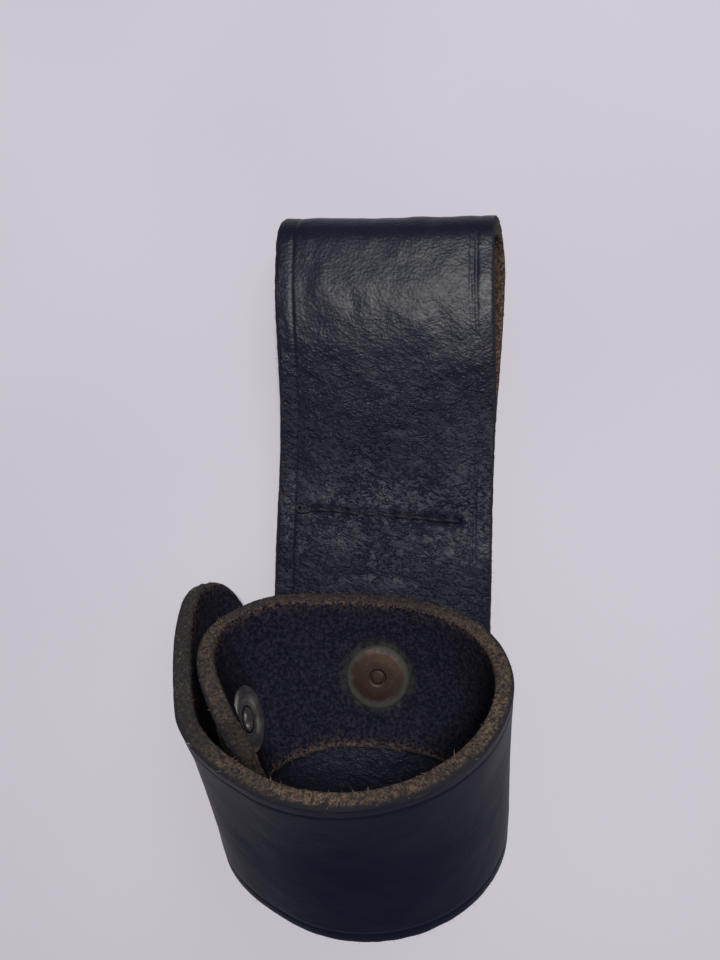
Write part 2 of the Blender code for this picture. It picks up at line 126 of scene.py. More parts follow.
HANGER_ROWS, HANGER_FACE, HANGER_EDGE = 330, 112, 11    # grid points along, across, on an edge
RING_SPACING, RING_FACE, RING_EDGE = 0.56 * MM, 86, 12
TAIL_ROWS = 32
FLEXED_Y = (8 * MM, -9 * MM)    # the grain is creased from here down the front layer
BOW_CENTRE = (-1.4 * MM, -62.2 * MM)
BOW_RADIUS = 22.0 * MM          # a bowed crease lies just above the ring's top edge
TORN_SPOT = (14.2 * MM, 0.2 * MM)
TORN_SIZE = (4.2 * MM, 1.5 * MM)

SLOPE = math.atan2(HANGER_LEATHER + LAYER_GAP, BACK_END_Y - TAB_END_Y)
RIVET_FACE_Z = (RIVET_Y - TAB_END_Y) * math.tan(SLOPE) + HANGER_LEATHER / math.cos(SLOPE)
RIVET_FRAME = Matrix.Translation((0, RIVET_Y, RIVET_FACE_Z)) @ Matrix.Rotation(SLOPE, 4, "X")
SEAM_FRAME = Matrix.Translation((SEAM_X, SEAM_Y, 0)) @ Matrix.Rotation(SEAM_SLANT, 4, "Z")

CAMERA_SPOT = (9.5 * MM, -36.2 * MM, 156.2 * MM)
CAMERA_TURN = (5.89, 5.58, 1.30)    # degrees round X, Y and Z
TABLE_HALF = 4.0                # metres

GRAIN, FLESH, CUT = 0, 1, 2     # the material slots of a strap
WRINKLE_TURN = -0.55            # the fine wrinkles run aslant to the strap, radians


# ---------------------------------------------------------------- numbers
def ease(start, end, value):
    """Smooth step t * t * (3 - 2 t), from 0 at start to 1 at end."""
    t = np.clip((value - start) / (end - start), 0.0, 1.0)
    return t * t * (3 - 2 * t)


def length_along(line):
    """Distance along a line of points from its first one, added up from the steps."""
    return np.concatenate([[0], np.cumsum(np.linalg.norm(np.diff(line, axis=0), axis=1))])


def hump(centre, spread, value):
    """Bell curve: exp of minus the squared distance from centre, in spreads."""
    return np.exp(-((value - centre) / spread) ** 2)


def noise(x, y, seed):
    """Smooth random values from -1 to 1: lattice values of a repeating 256 x 256 table,
    blended across each cell by the smooth step of the position in it."""
    table = np.random.default_rng(seed).uniform(-1, 1, (256, 256))
    x, y = np.broadcast_arrays(x, y)
    left, low = np.floor(x).astype(int), np.floor(y).astype(int)
    s, t = ease(0, 1, x - left), ease(0, 1, y - low)
    a, b = left % 256, (left + 1) % 256
    c, d = low % 256, (low + 1) % 256
    return ((table[a, c] * (1 - s) + table[b, c] * s) * (1 - t)
            + (table[a, d] * (1 - s) + table[b, d] * s) * t)


def layered_noise(x, y, seed, layers=3):
    """Sum of noise at doubling fineness and halving height."""
    total = 0.0
    for layer in range(layers):
        total = total + noise(x * 2 ** layer, y * 2 ** layer, seed + layer) / 2 ** layer
    return total


def stations(count, half_width, crease):
    """Positions from -1 to 1 across a strap, closer together at the two pressed lines.

    The spacing is the inverse of 1 + 2 x bell curve round each line.
    """
    fine = np.linspace(-1, 1, 4001)
    line = 1 - crease / half_width
    density = 1 + 2 * hump(line, 1.3 * MM / half_width, np.abs(fine))
    total = np.concatenate([[0], np.cumsum((density[1:] + density[:-1]) / 2)])
    return np.interp(np.linspace(0, total[-1], count), total, fine)


# ---------------------------------------------------------------- meshes
def link(name, mesh, materials, smooth=True):
    """A named object at the origin that shows a mesh."""
    made = bpy.data.objects.new(name, mesh)
    bpy.context.scene.collection.objects.link(made)
    for finish in materials:
        mesh.materials.append(finish)
    if smooth:
        mesh.shade_smooth()
    return made


def outward(points, faces):
    """The faces, turned round if the volume they enclose comes out negative."""
    a, b, c = points[faces[:, 0]], points[faces[:, 1]], points[faces[:, 2]]
    volume = np.einsum("ij,ij->", a, np.cross(b, c))
    if faces.shape[1] == 4:
        d = points[faces[:, 3]]
        volume += np.einsum("ij,ij->", a, np.cross(c, d))
    return faces if volume > 0 else faces[:, ::-1]


def mesh_of(name, points, faces):
    """A mesh from an array of points and an array of equal-sided faces."""
    mesh = bpy.data.meshes.new(name)
    sides = faces.shape[1]
    mesh.vertices.add(len(points))
    mesh.vertices.foreach_set("co", points.astype(np.float32).ravel())
    mesh.loops.add(faces.size)
    mesh.loops.foreach_set("vertex_index", faces.astype(np.int32).ravel())
    mesh.polygons.add(len(faces))
    mesh.polygons.foreach_set("loop_start", np.arange(0, faces.size, sides, dtype=np.int32))
    mesh.polygons.foreach_set("material_index", np.zeros(len(faces), np.int32))
    mesh.update(calc_edges=True)
    return mesh


def strips(rows, around, closed=False):
    """Four-sided faces between the rows of a rows x around grid, each row a closed loop; a
    closed grid also joins its last row to its first."""
    column = np.arange(around)
    following = (column + 1) % around
    row = np.arange(rows if closed else rows - 1)
    base, other = row[:, None] * around, ((row + 1) % rows)[:, None] * around
    return np.stack([base + column, base + following, other + following, other + column],
                    -1).reshape(-1, 4)


def face_out(mesh):
    """Turn a closed mesh's faces outward."""
    work = bmesh.new()
    work.from_mesh(mesh)
    bmesh.ops.recalc_face_normals(work, faces=work.faces)
    work.to_mesh(mesh)
    work.free()


def grid_normals(points):
    """Unit normals of a rows x around grid: the cross product of its two differences."""
    along = np.gradient(points, axis=0)
    around = np.roll(points, -1, 1) - np.roll(points, 1, 1)
    normal = np.cross(along, around)
    return normal / np.maximum(np.linalg.norm(normal, axis=-1, keepdims=True), 1e-12)


class Section:
    """The closed outline of a cut strap: grain face, right edge, flesh face, left edge.

    place runs from -1 to 1 across the strap, inset is how far the rounded corners draw a
    point in from the edge, depth is its share of the thickness, and girth is the distance
    round the outline.
    """

    def __init__(self, half_width, leather, crease, corner, fuzz_corner, face_count, edge_count):
        face = stations(face_count, half_width, crease)
        share = np.linspace(0, 1, edge_count + 2)[1:-1]
        share = share * share * (3 - 2 * share) * 0.5 + share * 0.5
        deep = share * leather
        top = np.clip(1 - deep / corner, 0, 1)
        low = np.clip(1 - (leather - deep) / fuzz_corner, 0, 1)
        inset = corner * (1 - np.sqrt(1 - top ** 2)) + fuzz_corner * (1 - np.sqrt(1 - low ** 2))
        one = np.ones_like(share)
        self.place = np.concatenate([face, one, face[::-1], -one])
        self.inset = np.concatenate([np.abs(face) * corner, inset,
                                     np.abs(face) * fuzz_corner, inset[::-1]])
        self.depth = np.concatenate([0 * face, share, 0 * face + 1, share[::-1]])
        self.kind = np.concatenate([0 * face + GRAIN, one * CUT, 0 * face + FLESH, one * CUT])
        self.face_count, self.edge_count = face_count, edge_count
        x = self.place * half_width - np.sign(self.place) * self.inset
        z = self.depth * leather
        step = np.hypot(np.diff(x, append=x[0]), np.diff(z, append=z[0]))
        self.girth = np.concatenate([[0], np.cumsum(step)]) - half_width
        self.across = x


def strap_mesh(name, points, section, along):
    """A closed strap from a rows x around grid of points.

    The two ends are closed by a ladder of faces from the grain face to the flesh face.  The
    map called strap holds the distance along and round the strap, in decimetres, and the
    attributes depth and rim hold the share of the thickness and the closeness to an edge.
    """
    rows, around = points.shape[:2]
    sides = strips(rows, around)
    kind = np.where(section.kind == np.roll(section.kind, -1), section.kind, CUT)
    kinds = np.tile(kind, rows - 1)

    n, e = section.face_count, section.edge_count
    last = (rows - 1) * around
    top = np.arange(n)
    bottom = 2 * n + e - 1 - top
    ladder = np.stack([top[:-1], bottom[:-1], bottom[1:], top[1:]], -1)
    right = np.arange(n - 1, n + e + 1)
    left = np.append(np.arange(2 * n + e - 1, 2 * n + 2 * e), 0)
    ends = [right.tolist(), left.tolist(), (right + last).tolist(), (left + last).tolist()]
    faces = np.concatenate([sides, ladder, ladder + last])
    mesh = bpy.data.meshes.new(name)
    mesh.from_pydata(points.reshape(-1, 3).tolist(), [], faces.tolist() + ends)
    kinds = np.concatenate([kinds, np.full(len(faces) + 4 - len(kinds), CUT)])
    mesh.polygons.foreach_set("material_index", kinds.astype(np.int32))
    face_out(mesh)

    loop_point = np.empty(len(mesh.loops), np.int32)
    mesh.loops.foreach_get("vertex_index", loop_point)
    row, col = loop_point // around, loop_point % around
    sizes = np.empty(len(mesh.polygons), np.int32)
    mesh.polygons.foreach_get("loop_total", sizes)
    face = np.repeat(np.arange(len(sizes)), sizes)
    closing = (face < len(sides)) & (face % around == around - 1) & (col == 0)
    uv = np.stack([along[row], np.where(closing, section.girth[-1], section.girth[col])], -1)
    layer = mesh.uv_layers.new(name="strap")
    layer.data.foreach_set("uv", (uv * 10).astype(np.float32).ravel())
    edge_distance = (1 - np.abs(section.place)) * np.abs(section.across).max()
    rim = np.tile(np.exp(-edge_distance / (0.7 * MM)), rows)
    for label, values in (("depth", np.tile(section.depth, rows)), ("rim", rim)):
        store = mesh.attributes.new(label, "FLOAT", "POINT")
        store.data.foreach_set("value", values.astype(np.float32))

    mesh.shade_smooth()
    pairs = np.empty(len(mesh.edges) * 2, np.int32)
    mesh.edges.foreach_get("vertices", pairs)
    in_row = pairs.reshape(-1, 2) // around
    sharp = (in_row[:, 0] == in_row[:, 1]) & ((in_row[:, 0] == 0) | (in_row[:, 0] == rows - 1))
    mesh.attributes.new("sharp_edge", "BOOLEAN", "EDGE").data.foreach_set("value", sharp)
    return mesh


def turned(name, outline, material, place, segments=96):
    """A solid of revolution: each (radius, height) of the outline swept round Z.

    The outline starts and ends on the axis, or is a closed loop of its own.
    """
    outline = np.array(outline, float)
    closed = outline[0, 0] > 1e-9
    angle = np.linspace(0, math.tau, segments, endpoint=False)
    body = outline if closed else outline[1:-1]
    grid = np.stack([body[:, :1] * np.cos(angle), body[:, :1] * np.sin(angle),
                     np.repeat(body[:, 1:], segments, 1)], -1)
    rows = len(body)
    column = np.arange(segments)
    following = (column + 1) % segments
    faces = strips(rows, segments, closed)
    points = grid.reshape(-1, 3)
    lists = outward(points, faces)
    flipped = not np.array_equal(lists, faces)
    lists = lists.tolist()
    if not closed:
        low, high = len(points), len(points) + 1
        points = np.concatenate([points, [[0, 0, outline[0, 1]], [0, 0, outline[-1, 1]]]])
        last = (rows - 1) * segments
        fans = [np.stack([np.full(segments, low), following, column], -1),
                np.stack([np.full(segments, high), last + column, last + following], -1)]
        for fan in fans:
            lists += (fan[:, ::-1] if flipped else fan).tolist()
    world = points @ np.array(place.to_3x3()).T + np.array(place.translation)
    mesh = bpy.data.meshes.new(name)
    mesh.from_pydata(world.tolist(), [], lists)
    return link(name, mesh, [material] if material else [])


def softened(outline, radius, steps=5):
    """An outline with each inner corner replaced by a short curve.

    Every corner becomes the quadratic curve from a point before it to a point after it, the
    radius or 0.45 of the shorter side away.
    """
    points = np.array(outline, float)
    out = [points[:1]]
    t = np.linspace(0, 1, steps)[:, None]
    for before, corner, after in zip(points[:-2], points[1:-1], points[2:]):
        into, away = before - corner, after - corner
        reach = min(radius, 0.45 * np.linalg.norm(into), 0.45 * np.linalg.norm(away))
        start = corner + into / np.linalg.norm(into) * reach
        end = corner + away / np.linalg.norm(away) * reach
        out.append((1 - t) ** 2 * start + 2 * t * (1 - t) * corner + t ** 2 * end)
    out.append(points[-1:])
    return np.concatenate(out)


def drill(target, outline, place):
    """Cut a turned hole with any seats through a finished strap, for good.

    outline lists (radius, height) from the bottom of the hole to its top.
    """
    ends = [(0, outline[0][1]), *outline, (0, outline[-1][1])]
    cutter = turned("cutter", ends, None, place, 48)
    for finish in target.data.materials:
        cutter.data.materials.append(finish)
    cutter.data.polygons.foreach_set("material_index", [CUT] * len(cutter.data.polygons))
    hole = target.modifiers.new("hole", "BOOLEAN")
    hole.operation, hole.solver, hole.object = "DIFFERENCE", "EXACT", cutter
    bpy.context.view_layer.update()
    made = bpy.data.meshes.new_from_object(
        target.evaluated_get(bpy.context.evaluated_depsgraph_get()))
    target.modifiers.clear()
    made.name = target.name
    target.data = made
    bpy.data.objects.remove(cutter, do_unlink=True)


def fibres(name, roots, ways, lengths, thickness, material, seed):
    """Loose fibres: each is a three-sided sliver that bends and tapers to a point.

    The middle line is root + way x length x t + bend x length x t squared, for t at 0,
    0.35, 0.7 and 1, and the width falls as 1 - t.
    """
    rng = np.random.default_rng(seed)
    count = len(roots)
    bend = rng.normal(0, 0.45, (count, 3))
    side = np.cross(ways, rng.normal(0, 1, (count, 3)))
    side /= np.linalg.norm(side, axis=1)[:, None]
    other = np.cross(ways, side)
    t = np.array([0, 0.35, 0.7])[None, :, None]
    size = np.asarray(lengths)[:, None, None]
    line = roots[:, None] + (ways[:, None] * t + bend[:, None] * t ** 2) * size
    tip = roots + (ways + bend) * size[:, 0]
    spin = np.arange(3) * math.tau / 3
    section = (side[:, None, None] * np.cos(spin)[:, None]
               + other[:, None, None] * np.sin(spin)[:, None])
    width = (thickness * (1 - 0.9 * t))[..., None]
    rings = line[:, :, None] + section * width
    points = np.concatenate([rings.reshape(count, 9, 3), tip[:, None]], 1)
    wall = []
    for row in range(2):
        for k in range(3):
            a, b = row * 3 + k, row * 3 + (k + 1) % 3
            wall += [(a, b, b + 3), (a, b + 3, a + 3)]
    wall += [(6 + k, 6 + (k + 1) % 3, 9) for k in range(3)] + [(0, 2, 1)]
    faces = np.array(wall)[None] + (np.arange(count) * 10)[:, None, None]
    flat = points.reshape(-1, 3)
    return link(name, mesh_of(name, flat, outward(flat, faces.reshape(-1, 3))), [material])


# ---------------------------------------------------------------- finishes
class Nodes:
    """Short ways to put nodes into a material's or a group's tree."""

    def __init__(self, tree):
        self.tree = tree

    def add(self, kind, settings=(), **inputs):
        """A node of that kind; each input is a value or another node's output."""
        node = self.tree.nodes.new(kind)
        for key, value in dict(settings).items():
            setattr(node, key, value)
        for key, value in inputs.items():
            socket = node.inputs[int(key[1:]) if key[0] == "i" and key[1:].isdigit()
                                 else key.replace("_", " ")]
            if isinstance(value, bpy.types.NodeSocket):
                self.tree.links.new(value, socket)
            elif value is not None:
                socket.default_value = value
        return node

    def math(self, operation, first, second=0.0, third=0.0):
        """One Math node's output."""
        node = self.add("ShaderNodeMath", {"operation": operation}, i0=first, i1=second, i2=third)
        return node.outputs[0]

    def kept(self, label):
        """The value of a number kept on the piece's points."""
        return self.add("ShaderNodeAttribute", {"attribute_name": label}).outputs["Fac"]

    def noise(self, place, scale, detail=3.0, rough=0.55, twist=0.0):
        """A noise texture's value."""
        return self.add("ShaderNodeTexNoise", Vector=place, Scale=scale, Detail=detail,
                        Roughness=rough, Distortion=twist).outputs["Fac"]

    def span(self, value, low, high, to_low=0.0, to_high=1.0):
        """Map Range with smooth ends, from low..high to to_low..to_high."""
        node = self.add("ShaderNodeMapRange", {"interpolation_type": "SMOOTHSTEP"}, Value=value)
        for key, number in (("From Min", low), ("From Max", high), ("To Min", to_low),
                            ("To Max", to_high)):
            node.inputs[key].default_value = number
        return node.outputs[0]

    def mix(self, share, first, second):
        """A colour between two by a share."""
        node = self.add("ShaderNodeMix", {"data_type": "RGBA"}, i0=share)
        for index, value in ((6, first), (7, second)):
            if isinstance(value, bpy.types.NodeSocket):
                self.tree.links.new(value, node.inputs[index])
            else:
                node.inputs[index].default_value = (*value, 1.0)
        return node.outputs[2]

    def drawn(self, place, lengths, turn):
        """Coordinates that draw a pattern out by the lengths along axes turned round Z."""
        return self.add("ShaderNodeMapping", {"vector_type": "TEXTURE"}, Vector=place,
                        Scale=lengths, Rotation=(0.0, 0.0, turn)).outputs[0]


def effect(name, ins, outs):
    """A shader node group with named inputs and outputs: its Nodes, its inputs by name, and
    the socket list of its output node."""
    tree = bpy.data.node_groups.new(name, "ShaderNodeTree")
    kinds = {"v": "NodeSocketVector", "f": "NodeSocketFloat", "c": "NodeSocketColor"}
    for label, (kind, value) in ins.items():
        socket = tree.interface.new_socket(label, in_out="INPUT", socket_type=kinds[kind])
        if value is not None:
            socket.default_value = value
    for label, kind in outs.items():
        tree.interface.new_socket(label, in_out="OUTPUT", socket_type=kinds[kind])
    start, end = tree.nodes.new("NodeGroupInput"), tree.nodes.new("NodeGroupOutput")
    return tree, Nodes(tree), start.outputs, end.inputs


def grain_effect():
    """Leather grain: pores, a net of fine wrinkles drawn out aslant, and patchy wear.

    Height mixes a fine cell pattern with stretched noise ridges; Worn is a large patch mask
    broken up by fine noise.
    """
    tree, n, given, out = effect("leather_grain", {
        "Vector": ("v", None), "Pore Scale": ("f", 1400.0), "Wrinkle Scale": ("f", 420.0),
        "Wrinkle Share": ("f", 0.5)}, {"Height": "f", "Worn": "f", "Patch": "f"})
    place = given["Vector"]
    pores = n.add("ShaderNodeTexVoronoi", {"feature": "SMOOTH_F1"}, Vector=place,
                  Scale=given["Pore Scale"], Smoothness=0.6).outputs["Distance"]
    aslant = n.drawn(place, (2.4, 0.75, 1.0), WRINKLE_TURN)
    ridge = n.noise(aslant, given["Wrinkle Scale"], 4.0, 0.6, 0.35)
    ridge = n.math("ABSOLUTE", n.math("SUBTRACT", ridge, 0.5))
    ridge = n.span(ridge, 0.0, 0.12)
    cross = n.drawn(place, (2.0, 0.9, 1.0), WRINKLE_TURN + 0.8)
    other = n.noise(cross, n.math("MULTIPLY", given["Wrinkle Scale"], 0.8), 3.0, 0.6, 0.3)
    other = n.span(n.math("ABSOLUTE", n.math("SUBTRACT", other, 0.5)), 0.0, 0.09)
    net = n.math("MULTIPLY", ridge, other)
    deep = n.math("MULTIPLY", n.math("SUBTRACT", net, 1.0), given["Wrinkle Share"])
    height = n.math("MULTIPLY_ADD", pores, 0.20, deep)
    patch = n.noise(place, 70.0, 3.0, 0.6)
    fine = n.noise(place, 900.0, 2.0, 0.6)
    worn = n.span(n.math("MULTIPLY_ADD", fine, 0.35, patch), 0.6, 0.9)
    for label, value in (("Height", height), ("Worn", worn), ("Patch", patch)):
        tree.links.new(value, out[label])
    return tree


def fuzz_effect():
    """Torn fibres: fine stretched noise over clumps; Light picks out the raised bright ends."""
    tree, n, given, out = effect("leather_fibre", {
        "Vector": ("v", None), "Scale": ("f", 900.0), "Clump Scale": ("f", 260.0)},
        {"Height": "f", "Light": "f", "Clump": "f"})
    place = given["Vector"]
    fine = n.noise(place, given["Scale"], 4.0, 0.7, 0.8)
    clump = n.noise(place, given["Clump Scale"], 3.0, 0.6, 0.5)
    height = n.math("MULTIPLY_ADD", clump, 0.9, fine)
    light = n.span(n.math("MULTIPLY_ADD", clump, 0.6, fine), 0.72, 0.98)
    for label, value in (("Height", height), ("Light", light), ("Clump", clump)):
        tree.links.new(value, out[label])
    return tree


def tarnish_effect():
    """Old metal: a cloudy patch mask, fine pits, and hair scratches from stretched noise."""
    tree, n, given, out = effect("metal_tarnish", {
        "Vector": ("v", None), "Cloud Scale": ("f", 260.0), "Scratch Scale": ("f", 700.0)},
        {"Cloud": "f", "Height": "f", "Scratch": "f"})
    place = given["Vector"]
    cloud = n.span(n.noise(place, given["Cloud Scale"], 4.0, 0.65, 0.4), 0.35, 0.68)
    drawn = n.drawn(place, (3.0, 0.3, 1.0), 0.8)
    scratch = n.span(n.noise(drawn, given["Scratch Scale"], 2.0, 0.5), 0.56, 0.7)
    pits = n.noise(place, 2400.0, 2.0, 0.6)
    height = n.math("SUBTRACT", n.math("MULTIPLY", pits, 0.5), n.math("MULTIPLY", scratch, 0.4))
    for label, value in (("Cloud", cloud), ("Height", height), ("Scratch", scratch)):
        tree.links.new(value, out[label])
    return tree


def finish(name, roughness=0.5, metallic=0.0, **constants):
    """A new material: its Nodes, its Principled shader, and the piece's own coordinates."""
    made = bpy.data.materials.new(name)
    made.use_nodes = True
    n = Nodes(made.node_tree)
    shader = made.node_tree.nodes["Principled BSDF"]
    shader.inputs["Roughness"].default_value = roughness
    shader.inputs["Metallic"].default_value = metallic
    for key, value in constants.items():
        shader.inputs[key.replace("_", " ")].default_value = value
    place = n.add("ShaderNodeTexCoord").outputs["Object"]
    return made, n, shader, place


def wire_up(n, shader, colour=None, roughness=None, height=None, strength=0.5, distance=0.1e-3):
    """Feed the shader's colour, roughness and, through a bump of that height, its normal."""
    links = n.tree.links
    if colour is not None:
        links.new(colour, shader.inputs["Base Color"])
    if roughness is not None:
        links.new(roughness, shader.inputs["Roughness"])
    if height is not None:
        bump = n.add("ShaderNodeBump", Strength=strength, Distance=distance, Height=height)
        links.new(bump.outputs[0], shader.inputs["Normal"])


def grain_leather(name, grain, dark, lit, wrinkle, pore, gloss, bump, shine):
    """Black dyed grain side, with wrinkles where the piece's creased attribute says."""
    made, n, shader, place = finish(name, 0.45, Specular_IOR_Level=shine)
    creased = n.kept("creased")
    rim = n.kept("rim")
    share = n.math("MULTIPLY_ADD", creased, wrinkle, 0.12)
    group = n.add("ShaderNodeGroup", {"node_tree": grain}, Vector=place, Pore_Scale=pore,
                  Wrinkle_Scale=560.0, Wrinkle_Share=share)
    worn, patch = group.outputs["Worn"], group.outputs["Patch"]
    colour = n.mix(n.math("MULTIPLY", worn, 0.35), dark, lit)
    scuffed = n.math("MULTIPLY", n.span(rim, 0.35, 0.95), n.span(worn, 0.25, 0.8))
    colour = n.mix(n.math("MULTIPLY", scuffed, 0.5), colour, (0.060, 0.045, 0.040))
    rough = n.math("MULTIPLY_ADD", patch, 0.14, n.math("MULTIPLY_ADD", creased, 0.10, gloss))
    wire_up(n, shader, colour, rough, group.outputs["Height"], bump, 0.20e-3)
    return made


def flesh_leather(name, fuzz, dark, lit, share):
    """The dyed flesh side: a short nap with a few brown ends showing."""
    made, n, shader, place = finish(name, 0.92, Specular_IOR_Level=0.06)
    group = n.add("ShaderNodeGroup", {"node_tree": fuzz}, Vector=place, Scale=2600.0,
                  Clump_Scale=1500.0)
    colour = n.mix(n.span(group.outputs["Clump"], 0.38, 0.66), dark, lit)
    rim = n.kept("rim")
    ends = n.math("MULTIPLY", group.outputs["Light"], n.math("MULTIPLY_ADD", rim, 0.9, share))
    colour = n.mix(ends, colour, (0.17, 0.10, 0.06))
    wire_up(n, shader, colour, None, group.outputs["Height"], 0.8, 0.14e-3)
    return made


def cut_leather(name, fuzz, base, brown, tan, light_share):
    """The raw cut edge: dyed black at the grain side, then brown with pale torn fibres."""
    made, n, shader, place = finish(name, 0.9, Specular_IOR_Level=0.25)
    group = n.add("ShaderNodeGroup", {"node_tree": fuzz}, Vector=place, Scale=3300.0,
                  Clump_Scale=1500.0)
    wide = n.noise(place, 110.0, 3.0, 0.6)
    raw = n.kept("raw")
    body = n.math("MULTIPLY", n.span(group.outputs["Clump"], 0.34, 0.66), raw)
    colour = n.mix(body, base, brown)
    pale = n.math("MULTIPLY", group.outputs["Light"], n.span(wide, 0.3, 0.7, 0.25, 1.0))
    pale = n.math("MULTIPLY", pale, raw)
    colour = n.mix(n.math("MULTIPLY", pale, light_share), colour, tan)
    depth = n.kept("depth")
    ragged = n.math("MULTIPLY_ADD", group.outputs["Clump"], 0.22, depth)
    colour = n.mix(n.span(ragged, 0.20, 0.42), (0.014, 0.013, 0.017), colour)
    wire_up(n, shader, colour, None, group.outputs["Height"], 0.9, 0.18e-3)
    return made


def fibre_stuff(name, colour, other):
    """Torn fibre ends, each a little different along the piece."""
    made, n, shader, place = finish(name, 0.85, Specular_IOR_Level=0.2)
    tone = n.mix(n.span(n.noise(place, 420.0), 0.35, 0.65), colour, other)
    wire_up(n, shader, tone, None, n.noise(place, 5200.0), 0.3, 0.02e-3)
    return made


def waxed_thread(name):
    """Black waxed thread with grey lint in the valleys between its strands."""
    made, n, shader, place = finish(name, 0.62, Specular_IOR_Level=0.35)
    lint = n.span(n.noise(place, 2600.0, 3.0), 0.5, 0.8)
    colour = n.mix(n.math("MULTIPLY", lint, 0.4), (0.007, 0.008, 0.014), (0.028, 0.027, 0.030))
    wire_up(n, shader, colour, None, n.noise(place, 5200.0, 3.0), 0.5, 0.04e-3)
    return made


def old_metal(name, tarnish, clean, dull, rough, metallic, grime, height=0.25):
    """Aged metal whose patches are duller and darker than the rest."""
    made, n, shader, place = finish(name, rough, metallic)
    group = n.add("ShaderNodeGroup", {"node_tree": tarnish}, Vector=place, Cloud_Scale=300.0,
                  Scratch_Scale=650.0)
    colour = n.mix(group.outputs["Cloud"], clean, dull)
    fine = n.noise(place, 1500.0, 3.0, 0.6)
    colour = n.mix(n.span(fine, 0.55, 0.8, 0.0, 0.5), colour, grime)
    coat = n.math("MULTIPLY_ADD", group.outputs["Cloud"], 0.22, rough)
    wire_up(n, shader, colour, coat, group.outputs["Height"], height, 0.03e-3)
    return made


def aged_copper(name, tarnish, centre, across):
    """Dull copper: brown all over, with green verdigris gathered round the rim.

    The distance from the rivet's axis is measured on the piece's own coordinates.
    """
    made, n, shader, place = finish(name, 0.55, 0.75)
    group = n.add("ShaderNodeGroup", {"node_tree": tarnish}, Vector=place, Cloud_Scale=330.0,
                  Scratch_Scale=800.0)
    out = n.add("ShaderNodeVectorMath", {"operation": "SUBTRACT"}, i0=place, i1=centre)
    flat = n.add("ShaderNodeVectorMath", {"operation": "MULTIPLY"}, i0=out.outputs[0],
                 i1=(1.0, 1.0, 0.0))
    far = n.add("ShaderNodeVectorMath", {"operation": "LENGTH"}, i0=flat.outputs[0])
    share = n.math("DIVIDE", far.outputs["Value"], across)
    ragged = n.math("MULTIPLY_ADD", n.noise(place, 520.0, 4.0, 0.65), 0.34, share)
    green = n.span(ragged, 0.88, 1.10)
    colour = n.mix(group.outputs["Cloud"], (0.044, 0.024, 0.017), (0.026, 0.017, 0.014))
    colour = n.mix(n.span(n.noise(place, 1300.0, 3.0), 0.5, 0.75, 0.0, 0.6), colour,
                   (0.064, 0.036, 0.025))
    colour = n.mix(n.math("MULTIPLY", green, 0.9), colour, (0.030, 0.032, 0.028))
    rough = n.math("MULTIPLY_ADD", green, 0.3, n.math("MULTIPLY_ADD", group.outputs["Cloud"],
                                                      0.15, 0.42))
    metal = n.math("SUBTRACT", 0.8, n.math("MULTIPLY", green, 0.7))
    n.tree.links.new(metal, shader.inputs["Metallic"])
    wire_up(n, shader, colour, rough, group.outputs["Height"], 0.35, 0.04e-3)
    return made


# ---------------------------------------------------------------- straps
def store(mesh, label, values):
    """Keep one number per point on a mesh."""
    kept = mesh.attributes.new(label, "FLOAT", "POINT")
    kept.data.foreach_set("value", np.asarray(values, np.float32).ravel())


def local(points, place):
    """Points seen from a frame."""
    back = np.array(place.inverted())
    return points @ back[:3, :3].T + back[:3, 3]


def to_world(points, place):
    """Points of a frame, in the row frame."""
    there = np.array(place)
    return points @ there[:3, :3].T + there[:3, 3]


def press(points, chosen, place, radius, fade, level):
    """Press the chosen points flat round an axis: inside radius their height along the
    frame's Z becomes level, and it eases back to their own height over fade."""
    seen = local(points, place)
    far = np.hypot(seen[..., 0], seen[..., 1])
    share = (1 - ease(radius, radius + fade, far)) * chosen * (np.abs(seen[..., 2] - level)
                                                              < 2.5 * MM)
    seen[..., 2] += (level - seen[..., 2]) * share
    return to_world(seen, place)


def hanger_path(rows):
    """Middle line of the hanger strap, as rows of (y, z), unit normal and sideways shift.

    The back layer lies on the table, the fold is a half turn, and the front layer comes down
    by a smooth step to the back layer above the seam and slopes to the table below it.  Rows
    are evenly spaced along the line.
    """
    half = HANGER_LEATHER / 2
    radius = (LOOP_HEIGHT - HANGER_LEATHER) / 2
    fold_y = FOLD_TOP_Y - half - radius
    back_y = np.linspace(BACK_END_Y, fold_y, 500)
    turn = np.linspace(-math.pi / 2, math.pi / 2, 300)[1:-1]
    front_y = np.linspace(fold_y, LOOP_OPENS_Y, 500)
    closed_z = half + HANGER_LEATHER + LAYER_GAP
    rise = (LOOP_HEIGHT - half - closed_z) * ease(LOOP_OPENS_Y, fold_y - 6 * MM, front_y)
    flat_y = np.linspace(LOOP_OPENS_Y, BACK_END_Y + 1 * MM, 160)[1:]
    slope_y = np.linspace(BACK_END_Y, TAB_END_Y, 500)[1:]
    slope_z = (slope_y - TAB_END_Y) * math.tan(SLOPE) + half / math.cos(SLOPE)
    y = np.concatenate([back_y, fold_y + radius * np.cos(turn), front_y, flat_y, slope_y])
    z = np.concatenate([0 * back_y + half, half + radius + radius * np.sin(turn),
                        closed_z + rise, 0 * flat_y + closed_z, slope_z])
    far = np.concatenate([[0], np.cumsum(np.hypot(np.diff(y), np.diff(z)))])
    along = np.linspace(0, far[-1], rows)
    y, z = np.interp(along, far, y), np.interp(along, far, z)
    dy, dz = np.gradient(y), np.gradient(z)
    run = np.hypot(dy, dz)
    side = np.clip((z - half) / (2 * radius), 0, 1)
    lean = BACK_LEAN + (FRONT_LEAN - BACK_LEAN) * side
    shift = ease(SEAM_Y, FOLD_TOP_Y - 10 * MM, y) * lean
    return along, y, z, dz / run, -dy / run, shift


